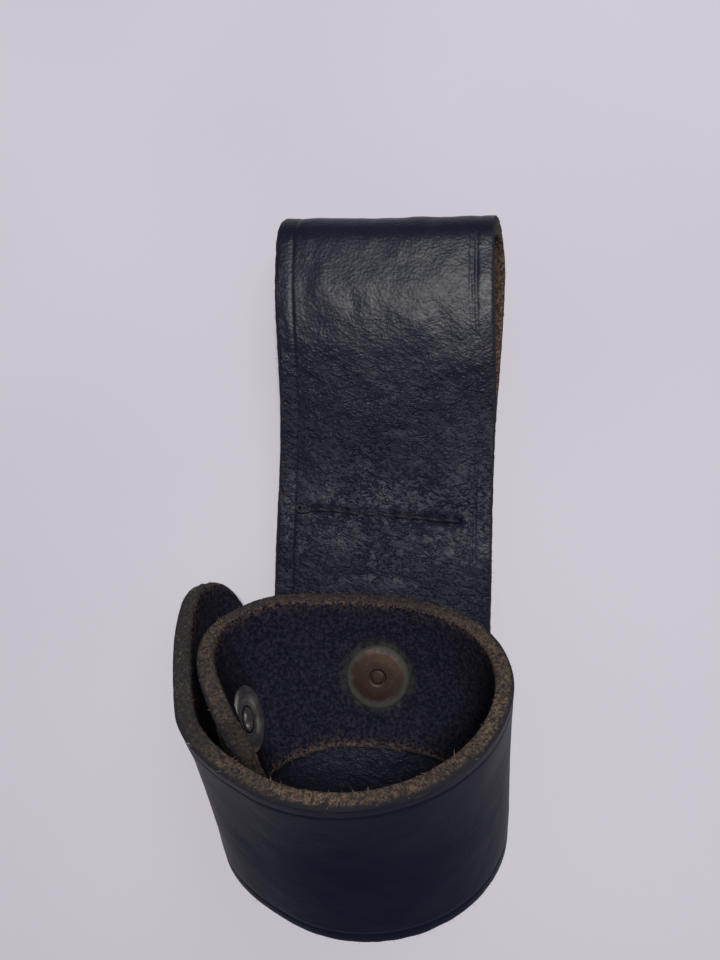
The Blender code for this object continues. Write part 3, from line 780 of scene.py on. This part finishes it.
def rough_edge(along, section, seed, deep):
    """Relief of a raw cut edge: clumps 1.1 mm long and fibres a third of that, zero on the
    two faces and strongest in the middle of the edge."""
    s, g = along[:, None] / MM, section.girth[None, :-1] / MM
    ragged = layered_noise(s * 0.9, g * 1.3, seed, 3)
    share = np.where(section.kind == CUT, np.sin(math.pi * np.clip(section.depth, 0, 1)), 0.0)
    return deep * ragged * share[None]


def seam_relief(relief, points, grain, front):
    """The relief with the marks of the seam added, worked out in the seam's own frame.

    On the front: a shallow uneven channel, a dimple over each stitch hole, puffed leather on
    both sides, and a torn patch at the right end.  On the back: a cut groove with holes.
    """
    x, y = np.moveaxis(local(points, SEAM_FRAME)[..., :2], -1, 0)
    inside = 1 - ease(SEAM_REACH + 0.3 * MM, SEAM_REACH + 1.6 * MM, np.abs(x))
    wander = 0.14 * MM * noise(x / MM * 0.5, 0 * x, 51)
    uneven = 0.75 + 0.45 * layered_noise(x / MM * 0.55, y / MM * 0.5, 53, 2)
    channel = hump(0, 0.75 * MM, y - wander) * inside * uneven
    nearest = np.clip(np.round((x + SEAM_REACH) / STITCH_PITCH), 0, STITCH_COUNT)
    hole_x = nearest * STITCH_PITCH - SEAM_REACH
    hole = np.exp(-(((x - hole_x) / (0.62 * MM)) ** 2 + (y / (0.55 * MM)) ** 2) ** 1.5)
    relief = relief - grain * front * (SEAM_MARKS["channel"] * channel
                                       + SEAM_MARKS["hole"] * hole * uneven)
    puffed = hump(1.3 * MM, 0.8 * MM, np.abs(y)) * uneven
    relief = relief + SEAM_MARKS["puff"] * grain * front * inside * puffed
    torn = np.hypot((x - TORN_SPOT[0]) / TORN_SIZE[0], (y - TORN_SPOT[1]) / TORN_SIZE[1])
    relief = relief - SEAM_MARKS["torn"] * grain * front * np.exp(-torn ** 4) * uneven
    trench = np.exp(-(y / (0.95 * MM)) ** 6) * inside
    return relief - grain * (~front) * (GROOVE_DEPTH * trench + SEAM_MARKS["back_hole"] * hole)


def build_hanger(materials):
    """The folded strap: each point is the middle line's point + sideways place + normal x
    (half the thickness - depth), then moved along the surface normal by its relief."""
    section = Section(HANGER_WIDTH / 2, HANGER_LEATHER, HANGER_CREASE, 0.5 * MM, 0.3 * MM,
                      HANGER_FACE, HANGER_EDGE)
    along, y, z, ny, nz, shift = hanger_path(HANGER_ROWS)
    end = np.clip((along[-1] - along) / END_CORNER, 0, 1)
    narrow = END_CORNER * (1 - np.sqrt(1 - (1 - end) ** 2))
    x = section.across[None] - np.sign(section.place)[None] * narrow[:, None] * np.abs(
        section.place)[None]
    raise_by = HANGER_LEATHER * (0.5 - section.depth)
    points = np.stack([x + shift[:, None], y[:, None] + ny[:, None] * raise_by[None],
                       z[:, None] + nz[:, None] * raise_by[None]], -1)
    normal = grid_normals(points)
    if normal[200, section.face_count // 2] @ np.array([0, ny[200], nz[200]]) < 0:
        normal = -normal
    s, g = along[:, None] / MM, section.across[None] / MM
    grain = (section.kind == GRAIN)[None]
    flesh = (section.kind == FLESH)[None]
    front = (nz > 0)[:, None]
    line = HANGER_WIDTH / 2 - HANGER_CREASE
    pressed = HANGER_MARKS["line"] * (1 + 0.6 * layered_noise(s * 0.09, np.sign(g) * 3.0, 15, 3))
    relief = -pressed * grain * (hump(line, 0.42 * MM, np.abs(section.across))[None]
                                 + 0.55 * front * hump(line - 1.1 * MM, 0.3 * MM,
                                                       section.across)[None])
    relief = relief + HANGER_MARKS["swell"] * grain * layered_noise(s * 0.13, g * 0.16, 11, 3)
    flexed = front * ease(12 * MM, -2 * MM, points[..., 1])
    folds = np.abs(layered_noise(s * 0.42 + g * 0.12, g * 0.13 - s * 0.05, 21, 2))
    relief = relief - HANGER_MARKS["fold"] * grain * flexed * np.exp(-(folds / 0.10) ** 2)
    relief = relief + HANGER_MARKS["nap"] * flesh * layered_noise(s * 1.1, g * 1.1, 31, 2)
    relief = relief + rough_edge(along, section, 41, HANGER_MARKS["edge"])

    relief = seam_relief(relief, points, grain, front)
    arc = np.hypot(points[..., 0] - BOW_CENTRE[0], points[..., 1] - BOW_CENTRE[1])
    bowed = hump(BOW_RADIUS, 0.5 * MM, arc) * hump(BOW_CENTRE[0], 9 * MM, points[..., 0])
    relief = relief - HANGER_MARKS["bow"] * grain * front * bowed * (points[..., 1] > -50 * MM)
    points = points + normal * relief[..., None]
    points[..., 2] = np.maximum(points[..., 2], 0.0)

    mesh = strap_mesh("hanger_leather", points, section, along)
    creased = ease(*FLEXED_Y, points[..., 1]) * front * (0.65 + 0.35 * layered_noise(
        s * 0.11, g * 0.12, 61, 2))
    store(mesh, "creased", np.clip(creased, 0, 1))
    store(mesh, "raw", np.full(points.shape[:2], 0.8))
    strap = link("hanger_leather", mesh, materials)
    drill(strap, [(RIVET_SHANK_RADIUS + HOLE_CLEARANCE, -2 * HANGER_LEATHER),
                  (RIVET_SHANK_RADIUS + HOLE_CLEARANCE, HANGER_LEATHER)], RIVET_FRAME)
    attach(strap, "hanger")
    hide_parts("hanger_strap")
    return points, normal, section, along


# ---------------------------------------------------------------- the ring
def inner_step(angle, height):
    """Outward step of the inner end: a shoulder, then a long tuck inwards."""
    shoulder = INNER_SHOULDER * (1 - SHOULDER_FADE * (1 - height)) * ease(-12, -42, angle)
    return shoulder - INNER_TUCK * ease(-62, -122, angle)


def snap_hold(angle, height):
    """1 where the snap holds the free end parallel to the inner end, and 0 away from it."""
    return np.exp(-((angle - SNAP_ANGLE - 360) / SNAP_HOLD[0]) ** 4
                  - ((height - SNAP_HEIGHT) / SNAP_HOLD[1]) ** 4)


def tail_flare(angle, height):
    """How far the tail stands off the ring: it grows as the square of the angle."""
    run = np.clip((angle - FLARE_START) / FLARE_RUN, 0, None)
    tall = FLARE_LOW + (1 - FLARE_LOW) * height
    return TAIL_FLARE * run ** 2 * tall * (1 - snap_hold(angle, height))


def overlap_step(angle, height):
    """Outward step of the strap's outer face from the ring's plain oval."""
    outer = OUTER_STEP * ease(205, 242, angle)
    at_snap = inner_step(angle - 360, height) + RING_LEATHER + SNAP_GAP
    outer = outer + snap_hold(angle, height) * (at_snap - outer)
    flare = (1 - FLARE_SIDEWAYS) * tail_flare(angle, height)
    return inner_step(angle, height) + outer + flare


def ring_face(angle, height, depth=0.0):
    """Points of the ring strap in the rivet's frame.

    angle is in degrees from the middle of the back wall, turning to the right, and height
    runs from 0 at the bottom edge to 1 at the top edge.  The outline at each height is an
    oval with a flattened back: across = half width x sin(angle), and the distance from the
    back wall = depth x sin(angle / 2) ** (2 x flatness).  Half width, depth, lean and sag
    change evenly from the bottom edge to the top edge.  depth moves a point into the leather.
    """
    angle, height = np.broadcast_arrays(np.asarray(angle, float), np.asarray(height, float))
    turn = np.radians(angle)
    half_width = RING_HALF_WIDTH[0] + (RING_HALF_WIDTH[1] - RING_HALF_WIDTH[0]) * height
    half_width = half_width - RING_LEFT_NARROWING * (np.sin(turn) < 0)
    reach = RING_DEPTH[0] + (RING_DEPTH[1] - RING_DEPTH[0]) * height
    sag = RING_SAG[0] + (RING_SAG[1] - RING_SAG[0]) * height
    back_y = RING_BACK_Y[0] + (RING_BACK_Y[1] - RING_BACK_Y[0]) * height
    lift = LAYER_GAP + BACK_LIFT * np.clip(2 * height - 1, 0, None) ** 2
    round_part = (1 - np.cos(turn)) / 2
    across = half_width * np.sin(turn)
    away = reach * round_part ** RING_FLATNESS
    slope = reach * RING_FLATNESS * np.maximum(round_part, 1e-9) ** (RING_FLATNESS - 1)
    slope = slope * np.sin(turn) / 2
    run = np.hypot(half_width * np.cos(turn), slope)
    step = overlap_step(angle, height) - depth
    across = across + step * slope / run
    away = away - step * half_width * np.cos(turn) / run
    across = across - FLARE_SIDEWAYS * tail_flare(angle, height)
    climb = TAIL_RISE * np.clip((angle - FLARE_START) / FLARE_RUN, 0, None) ** 2
    lean = RING_CENTRE_X + RING_LEAN * (height - 0.47)
    return np.stack([lean + across, back_y + climb - np.sin(sag) * away,
                     lift + np.cos(sag) * away], -1)


def ring_normal(angle, height):
    """Unit outward normal of the strap's outer face, from the cross product of its rises."""
    round_way = ring_face(angle + 0.05, height) - ring_face(angle - 0.05, height)
    up_way = ring_face(angle, height + 0.002) - ring_face(angle, height - 0.002)
    normal = np.cross(up_way, round_way)
    return normal / np.linalg.norm(normal, axis=-1, keepdims=True)


def snap_place():
    """The snap's frame on the inner end's outer face: Z outward, Y up the ring."""
    point = ring_face(SNAP_ANGLE, SNAP_HEIGHT)
    outward_way = Vector(ring_normal(np.asarray(SNAP_ANGLE), np.asarray(SNAP_HEIGHT)))
    up = Vector(ring_face(SNAP_ANGLE, 0.8) - ring_face(SNAP_ANGLE, 0.2))
    across = up.cross(outward_way).normalized()
    upward = outward_way.cross(across)
    turn = Matrix((across, upward, outward_way)).transposed().to_4x4()
    return RIVET_FRAME @ Matrix.Translation(Vector(point)) @ turn


def ring_rows(start, end, spacing):
    """Angles spaced evenly along the strap's middle line."""
    fine = np.linspace(start, end, 2000)
    far = length_along(ring_face(fine, 0.5))
    count = int(round(far[-1] / spacing)) + 1
    return np.interp(np.linspace(0, far[-1], count), far, fine)


def strap_thickness(angle):
    """The leather is thinner round the front of the ring."""
    return RING_LEATHER - 0.55 * MM * hump(175, 55, angle)


def ring_strap(name, angles, reach, section, materials):
    """A stretch of the ring: each point is the outer face's point at its height - depth x
    thickness x normal, moved along the surface normal by its relief.

    reach is the share of the half width that is there, below 1 where the tail rounds off.
    """
    x = (section.place[None] * RING_WIDTH / 2 * reach[:, None]
         - np.sign(section.place)[None] * section.inset[None])
    height = 0.5 + x / RING_WIDTH
    turn = np.broadcast_to(angles[:, None], height.shape)
    out = ring_normal(turn, height)
    deep = section.depth[None] * strap_thickness(turn)
    inner = ring_face(turn, height) - out * deep[..., None]
    points = to_world(inner, RIVET_FRAME)
    normal = grid_normals(points)
    out = out @ np.array(RIVET_FRAME.to_3x3()).T
    if np.einsum("j,j->", normal[3, section.face_count // 2], out[3, section.face_count // 2]) < 0:
        normal = -normal

    fine = np.linspace(INNER_END, FLAP_END + 5, 3000)
    along = np.interp(angles, fine, length_along(ring_face(fine, 0.5)))
    s, g = along[:, None] / MM, x / MM
    grain = (section.kind == GRAIN)[None]
    flesh = (section.kind == FLESH)[None]
    from_edge = RING_WIDTH / 2 * reach[:, None] - np.abs(x)
    relief = -RING_MARKS["line"] * grain * hump(RING_CREASE, 0.34 * MM, from_edge)
    relief = relief + RING_MARKS["swell"] * grain * layered_noise(s * 0.10, g * 0.13, 111, 3)
    relief = relief + RING_MARKS["nap"] * flesh * layered_noise(s * 0.9, g * 0.9, 131, 3)
    relief = relief + rough_edge(along, section, 141, RING_MARKS["edge"])
    points = points + normal * relief[..., None]

    head = LAYER_GAP + RING_LEATHER + 0.27 * MM
    points = press(points, flesh & (np.abs(turn) < 40), RIVET_FRAME, RIVET_HEAD_RADIUS
                   + 0.1 * MM, 2.2 * MM, head)
    snap = snap_place()
    points = press(points, flesh & (turn < 0), snap, SNAP_FLANGE_RADIUS - 0.1 * MM, 2.0 * MM,
                   -RING_LEATHER - 0.12 * MM)
    cap_base = SNAP_GAP + RING_LEATHER - 0.23 * MM
    points = press(points, grain & (turn > 200), snap, SNAP_CAP_RADIUS, 2.2 * MM, cap_base)

    mesh = strap_mesh(name, points, section, along)
    store(mesh, "creased", np.full(height.shape, 0.16))
    raw = 0.35 + 0.65 * ease(30, 75, turn) - 0.72 * ease(205, 236, turn)
    store(mesh, "raw", raw + 0.35 * ease(-50, -80, turn) + 0.3 * ease(300, 318, turn))
    seen = local(points, RIVET_FRAME)
    spread = np.hypot(seen[..., 0], seen[..., 1])
    ragged = 0.5 * MM * layered_noise(seen[..., 0] / MM * 0.7, seen[..., 1] / MM * 0.7, 151, 2)
    stain = hump(RIVET_HEAD_RADIUS + 0.1 * MM, 0.85 * MM, spread + ragged)
    store(mesh, "stain", stain * flesh * (np.abs(turn) < 40))
    return link(name, mesh, materials), points, normal


def build_ring(materials):
    """The band that rides the ring, and the free end as a piece of its own from the flap's start.
    """
    section = Section(RING_WIDTH / 2, RING_LEATHER, RING_CREASE, 0.5 * MM, 0.55 * MM,
                      RING_FACE, RING_EDGE)
    angles = ring_rows(INNER_END, FLAP_START, RING_SPACING)
    band, points, normal = ring_strap("ring_leather_band", angles, np.ones_like(angles),
                                      section, materials)
    snap = snap_place()
    drill(band, [(2.2 * MM, -8 * MM), (2.2 * MM, -0.6 * MM), (5.3 * MM, -0.6 * MM),
                 (5.3 * MM, 1.2 * MM)], snap)
    drill(band, [(RIVET_SHANK_RADIUS + HOLE_CLEARANCE, -2 * MM),
                 (RIVET_SHANK_RADIUS + HOLE_CLEARANCE, 2 * RING_LEATHER)], RIVET_FRAME)
    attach(band, "ring")
    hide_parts("ring_band")

    straight = ring_rows(FLAP_START, FLAP_END - TAIL_ROUND, RING_SPACING)
    bend = np.linspace(0, math.pi / 2, TAIL_ROWS + 2)[1:-1]
    tail = FLAP_END - TAIL_ROUND * (1 - np.sin(bend))
    flap_angles = np.concatenate([straight, tail])
    reach = np.concatenate([np.ones_like(straight), np.cos(bend) ** 0.9])
    flap, flap_points, flap_normal = ring_strap("ring_leather_flap", flap_angles, reach,
                                                section, materials)
    drill(flap, [(6.1 * MM, SNAP_GAP - 1.2 * MM), (6.1 * MM, SNAP_GAP + 1.4 * MM),
                 (1.9 * MM, SNAP_GAP + 1.4 * MM), (1.9 * MM, 9 * MM)], snap)
    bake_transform(flap)
    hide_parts("ring_flap")
    return (points, normal, section, angles), (flap_points, flap_normal, section, flap_angles)


def edge_fibres(name, grid, count, rows, sizes, material, seed, body):
    """Loose fibres rooted at random on a strap's cut edges, between two rows."""
    points, normal, section = grid[:3]
    rng = np.random.default_rng(seed)
    columns = np.flatnonzero(section.kind == CUT)
    row = rng.integers(rows[0], rows[1], count)
    col = rng.choice(columns, count)
    roots = points[row, col]
    along = points[np.minimum(row + 1, len(points) - 1), col] - points[row, col]
    along /= np.maximum(np.linalg.norm(along, axis=1, keepdims=True), 1e-9)
    ways = normal[row, col] * rng.uniform(0.3, 1.0, (count, 1)) + along * rng.normal(
        0, 0.9, (count, 1)) + rng.normal(0, 0.35, (count, 3))
    ways /= np.linalg.norm(ways, axis=1)[:, None]
    roots = roots - normal[row, col] * 0.08 * MM
    lengths = rng.gamma(2.2, sizes, count)
    lengths = np.minimum(lengths, 4.5 * sizes)
    made = fibres(name, roots, ways, lengths, 0.045 * MM, material, seed + 1)
    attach(made, body)
    return made


# ---------------------------------------------------------------- thread and metal
def thread_line(face_z, outward_way, lift, dip):
    """Seam line: height = lift x |sin| ** 0.8 - dip, one arch over each stitch."""
    x = np.linspace(-SEAM_REACH, SEAM_REACH, 44 * STITCH_COUNT + 1)
    phase = (x + SEAM_REACH) / STITCH_PITCH * math.pi
    arch = np.abs(np.sin(phase)) ** 0.8
    sway = 0.12 * MM * noise(x / MM * 0.45, 0 * x, 201)
    return np.stack([x, sway, face_z + outward_way * (lift * arch - dip)], -1)


def twisted(name, line, radius, material, place, pitch=1.5 * MM, around=15):
    """Three-strand thread: at distance s along the line and angle a round it the radius is
    r x (1 + 0.17 cos(3 (a - turn x s / pitch))); both ends are closed."""
    along = np.gradient(line, axis=0)
    step = np.linalg.norm(along, axis=1)
    along = along / step[:, None]
    across = np.cross(along, [0.0, 0.0, 1.0])
    short = np.linalg.norm(across, axis=1, keepdims=True)
    across = np.where(short > 0.05, across / np.maximum(short, 1e-9), [[0.0, 1.0, 0.0]])
    up = np.cross(across, along)
    far = np.cumsum(step)[:, None]
    a = np.linspace(0, math.tau, around, endpoint=False)[None]
    r = radius * (1 + 0.17 * np.cos(3 * (a - math.tau * far / pitch)))
    grid = line[:, None] + (across[:, None] * np.cos(a)[..., None]
                            + up[:, None] * np.sin(a)[..., None]) * r[..., None]
    column = np.arange(around)
    points = to_world(grid.reshape(-1, 3), place)
    faces = outward(points, strips(len(line), around))
    ends = [column.tolist(), (column[::-1] + (len(line) - 1) * around).tolist()]
    mesh = bpy.data.meshes.new(name)
    mesh.from_pydata(points.tolist(), [], faces.tolist() + ends)
    face_out(mesh)
    return link(name, mesh, [material])


def build_threads(material, lint):
    """The needle thread on the front, the bobbin thread in the groove at the back, and the
    short ends at the left of the front row."""
    face = 2 * HANGER_LEATHER + LAYER_GAP
    front = twisted("needle_thread", thread_line(face, 1, 1.15 * MM, 1.15 * MM), THREAD_RADIUS,
                    material, SEAM_FRAME)
    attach(front, "hanger")
    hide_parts("front_thread")
    back = twisted("bobbin_thread", thread_line(GROOVE_DEPTH, -1, 0.8 * MM, 0.12 * MM),
                   THREAD_RADIUS, material, SEAM_FRAME)
    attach(back, "hanger")
    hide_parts("back_thread")

    t = np.linspace(0, 1, 60)
    for number, (x, size, tall) in enumerate(((-SEAM_REACH, 1.0, 0.75),
                                              (-SEAM_REACH + 0.9 * MM, 0.8, 0.4))):
        turn = math.tau * 1.1 * t
        line = np.stack([x + size * MM * 0.75 * np.cos(turn) + 0.7 * MM * t,
                         size * MM * 0.6 * np.sin(turn) - 0.25 * MM * t,
                         face + 0.1 * MM + tall * MM * np.sin(math.pi * t) * 0.5 - 0.25 * MM * t],
                        -1)
        knot = twisted(f"thread_knot_{number + 1}", line, THREAD_RADIUS * 0.95, material,
                       SEAM_FRAME)
        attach(knot, "hanger")

    rng = np.random.default_rng(77)
    spots = np.repeat([-0.52, -0.31, 0.42, 0.71, -0.9], 9)
    count = len(spots)
    x = spots * SEAM_REACH + rng.normal(0, 0.35 * MM, count)
    roots = to_world(np.stack([x, rng.normal(0, 0.35 * MM, count),
                               np.full(count, face - 0.15 * MM)], -1), SEAM_FRAME)
    ways = np.stack([rng.normal(0, 0.7, count), rng.normal(-0.2, 0.7, count),
                     rng.uniform(0.3, 0.9, count)], -1)
    ways /= np.linalg.norm(ways, axis=1)[:, None]
    ends = fibres("thread_lint", roots, ways, rng.uniform(0.4, 1.1, count) * MM, 0.05 * MM,
                  lint, 78)
    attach(ends, "hanger")


def build_rivet(copper):
    """The rivet with a shallow ring struck in its head, and the burr it is peened over."""
    seat = LAYER_GAP + RING_LEATHER + LAYER_GAP
    top = seat + RIVET_HEAD_HEIGHT
    end = -(HANGER_LEATHER + LAYER_GAP + BURR_THICKNESS)
    edge = RIVET_HEAD_RADIUS
    shank = softened([(0, end - 0.45 * MM), (1.1 * MM, end - 0.40 * MM),
                      (2.1 * MM, end - 0.05 * MM), (RIVET_SHANK_RADIUS, end + 0.02 * MM),
                      (RIVET_SHANK_RADIUS, seat), (edge - 0.2 * MM, seat), (edge, seat + 0.35 * MM),
                      (edge - 0.45 * MM, seat + 0.78 * MM), (edge - 1.5 * MM, seat + 0.98 * MM),
                      (3.2 * MM, top - 0.22 * MM), (1.75 * MM, top - 0.18 * MM),
                      (1.5 * MM, top - 0.32 * MM), (1.25 * MM, top - 0.32 * MM),
                      (1.05 * MM, top - 0.17 * MM), (0, top - 0.15 * MM)], 0.25 * MM)
    head = turned("copper_rivet", shank, copper, RIVET_FRAME)
    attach(head, "hanger")
    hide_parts("rivet")
    high = -HANGER_LEATHER - LAYER_GAP
    low = high - BURR_THICKNESS
    hole = RIVET_SHANK_RADIUS + 0.1 * MM
    ring = np.array([(hole, low + 0.1 * MM), (hole + 0.25 * MM, low), (BURR_RADIUS - 0.4 * MM, low),
                     (BURR_RADIUS - 0.08 * MM, low + 0.2 * MM), (BURR_RADIUS, high - 0.35 * MM),
                     (BURR_RADIUS - 0.12 * MM, high), (hole, high)])
    burr = turned("copper_burr", ring, copper, RIVET_FRAME)
    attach(burr, "hanger")
    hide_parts("rivet_burr")


def build_snap(brightened_brass, bright):
    """The snap's flange with its rolled rim and dished middle, and the cap on the free end."""
    place = snap_place()
    low = -RING_LEATHER
    edge = SNAP_FLANGE_RADIUS
    post = softened([(0, low - 0.62 * MM), (0.8 * MM, low - 0.60 * MM),
                     (1.35 * MM, low - 0.42 * MM), (1.7 * MM, low - 0.12 * MM),
                     (2.5 * MM, low - 0.10 * MM),
                     (3.3 * MM, low - 0.22 * MM), (3.9 * MM, low - 0.62 * MM),
                     (4.6 * MM, low - 0.88 * MM), (5.3 * MM, low - 0.90 * MM),
                     (edge - 0.25 * MM, low - 0.66 * MM), (edge, low - 0.34 * MM),
                     (edge - 0.2 * MM, low - 0.06 * MM), (1.2 * MM, low - 0.02 * MM),
                     (1.2 * MM, 1.1 * MM), (0.9 * MM, 1.2 * MM), (0, 1.2 * MM)], 0.3 * MM)
    # painted light: the flange's brass is brightened past the cap's to stand in for light it
    # doesn't get inside the ring
    flange = turned("snap_flange", post, brightened_brass, place)
    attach(flange, "ring")
    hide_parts("snap_post")

    base = SNAP_GAP + RING_LEATHER - 0.2 * MM
    roof = SNAP_GAP + 1.1 * MM
    edge = SNAP_CAP_RADIUS
    outline = softened([(0, roof + 0.3 * MM), (1.5 * MM, roof + 0.3 * MM), (1.5 * MM, base),
                        (edge - 0.2 * MM, base), (edge, base + 0.35 * MM),
                        (edge - 0.35 * MM, base + 0.85 * MM), (edge * 0.75, base + 1.22 * MM),
                        (edge * 0.45, base + 1.45 * MM), (edge * 0.2, base + 1.54 * MM),
                        (0, base + 1.55 * MM)], 0.5 * MM)
    cap = turned("snap_button", outline, bright, place)
    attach(cap, "flap")
    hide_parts("snap_cap")


# ---------------------------------------------------------------- the whole holder
def stained_flesh(fuzz):
    """The ring's flesh side, with green-grey stain in the nap round the rivet."""
    made = flesh_leather("ring_flesh", fuzz, (0.0044, 0.0052, 0.0125),
                         (0.0135, 0.0145, 0.0250), 0.05)
    n = Nodes(made.node_tree)
    shader = made.node_tree.nodes["Principled BSDF"]
    stain = n.kept("stain")
    place = n.add("ShaderNodeTexCoord").outputs["Object"]
    share = n.math("MULTIPLY", stain, n.span(n.noise(place, 600.0, 3.0), 0.3, 0.65))
    before = shader.inputs["Base Color"].links[0].from_socket
    colour = n.mix(n.math("MULTIPLY", share, 0.75), before, (0.036, 0.038, 0.026))
    made.node_tree.links.new(colour, shader.inputs["Base Color"])
    return made


def build_holder():
    """Every piece of the holder, and finishes for the fittings that stay as they are."""
    grain, fuzz, tarnish = grain_effect(), fuzz_effect(), tarnish_effect()
    hanger_set = [
        grain_leather("hanger_grain", grain, (0.0056, 0.0067, 0.0165), (0.012, 0.013, 0.025),
                      1.0, 1500.0, 0.31, 1.0, 0.165),
        flesh_leather("hanger_flesh", fuzz, (0.016, 0.012, 0.011), (0.040, 0.028, 0.022), 0.3),
        cut_leather("hanger_cut", fuzz, (0.018, 0.014, 0.013), (0.042, 0.030, 0.026),
                    (0.17, 0.12, 0.09), 0.5)]
    ring_set = [
        grain_leather("ring_grain", grain, (0.0046, 0.0058, 0.0160), (0.008, 0.009, 0.020),
                      0.6, 1600.0, 0.38, 0.30, 0.09),
        stained_flesh(fuzz),
        cut_leather("ring_cut", fuzz, (0.015, 0.014, 0.018), (0.055, 0.038, 0.027),
                    (0.22, 0.155, 0.095), 0.75)]
    hanger_grid = build_hanger(hanger_set)
    band_grid, flap_grid = build_ring(ring_set)
    dark = fibre_stuff("dark_fibre", (0.05, 0.03, 0.022), (0.10, 0.06, 0.04))
    pale = fibre_stuff("pale_fibre", (0.20, 0.12, 0.07), (0.42, 0.29, 0.18))
    lint = fibre_stuff("brown_lint", (0.12, 0.07, 0.05), (0.28, 0.19, 0.14))
    rows = len(hanger_grid[0])
    edge_fibres("hanger_edge_fibres", hanger_grid, 420, (int(rows * 0.30), rows - 2), 0.16 * MM,
                dark, 301, "hanger")
    edge_fibres("ring_dark_fibres", band_grid, 700, (0, len(band_grid[0]) - 1), 0.20 * MM, dark,
                311, "ring")
    edge_fibres("ring_pale_fibres", band_grid, 1100, (0, len(band_grid[0]) - 1), 0.20 * MM, pale,
                321, "ring")
    first = int(np.searchsorted(flap_grid[3], FLAP_START + 14))
    edge_fibres("flap_edge_fibres", flap_grid, 320, (first, len(flap_grid[0]) - 1), 0.20 * MM,
                pale, 331, "flap")

    build_threads(waxed_thread("black_waxed_thread"), lint)
    centre = tuple(RIVET_FRAME.translation)
    build_rivet(aged_copper("old_copper", tarnish, centre, RIVET_HEAD_RADIUS))
    # painted light: this brass is made far paler than the cap's to make up for the shade the flange
    # lies in on the ring's inside; the stud and socket share it
    brightened_brass = old_metal("old_brass_brightened", tarnish, (0.86, 0.82, 0.74), (0.50, 0.46, 0.39), 0.30, 1.0,
                      (0.10, 0.09, 0.06))
    cap_brass = old_metal("cap_brass", tarnish, (0.38, 0.34, 0.26), (0.20, 0.17, 0.12), 0.30, 1.0,
                          (0.10, 0.09, 0.06))
    steel = old_metal("snap_steel", tarnish, (0.42, 0.42, 0.43), (0.26, 0.25, 0.24), 0.32, 1.0,
                      (0.12, 0.11, 0.10))
    build_snap(brightened_brass, cap_brass)
    for node, metal in (("snap_stud", brightened_brass), ("snap_socket", brightened_brass), ("snap_spring", steel)):
        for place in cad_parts[node].material_slots:
            place.material = metal


def build_studio():
    """A pale table, a soft lamp overhead and a wide one beyond the belt loop, and the camera."""
    made, n, shader, place = finish("pale_table", 0.85, Specular_IOR_Level=0.2)
    cloud = n.span(n.noise(place, 6.0, 2.0), 0.3, 0.7)
    wire_up(n, shader, n.mix(cloud, (0.548, 0.520, 0.575), (0.586, 0.556, 0.610)))
    mesh = bpy.data.meshes.new("table")
    mesh.from_pydata([(x * TABLE_HALF, y * TABLE_HALF, 0)
                      for x, y in ((-1, -1), (1, -1), (1, 1), (-1, 1))], [], [(0, 1, 2, 3)])
    link("table", mesh, [made], smooth=False)

    for name, spot, size, power, tint in (
            ("key", (0.08, 0.15, 0.86), 0.20, 6.7, (1.0, 0.99, 0.98)),
            ("room", (0.4, 0.6, 1.3), 1.0, 2.9, (0.93, 0.95, 1.0))):
        light = bpy.data.lights.new(name, "AREA")
        light.shape, light.size, light.energy, light.color = "DISK", size, power, tint
        lamp = bpy.data.objects.new(name, light)
        bpy.context.scene.collection.objects.link(lamp)
        lamp.location = spot
        aim = Vector((0, -0.03, 0.01)) - Vector(spot)
        lamp.rotation_euler = aim.to_track_quat("-Z", "Y").to_euler()

    world = bpy.data.worlds.new("studio")
    world.use_nodes = True
    world.node_tree.nodes["Background"].inputs["Color"].default_value = (0.80, 0.82, 0.90, 1)
    world.node_tree.nodes["Background"].inputs["Strength"].default_value = 0.15
    bpy.context.scene.world = world
    bpy.context.scene.view_settings.view_transform = "Standard"

    lens = bpy.data.cameras.new("camera")
    lens.sensor_width, lens.lens = 36.0, 27.04
    lens.clip_start, lens.clip_end = 0.005, 20.0
    camera = bpy.data.objects.new("camera", lens)
    bpy.context.scene.collection.objects.link(camera)
    turn = Matrix.Identity(4)
    for degrees, axis in zip(CAMERA_TURN, "XYZ"):
        turn = turn @ Matrix.Rotation(math.radians(degrees), 4, axis)
    camera.matrix_world = Matrix.Translation(CAMERA_SPOT) @ turn
    bpy.context.scene.camera = camera


build_studio()
build_holder()
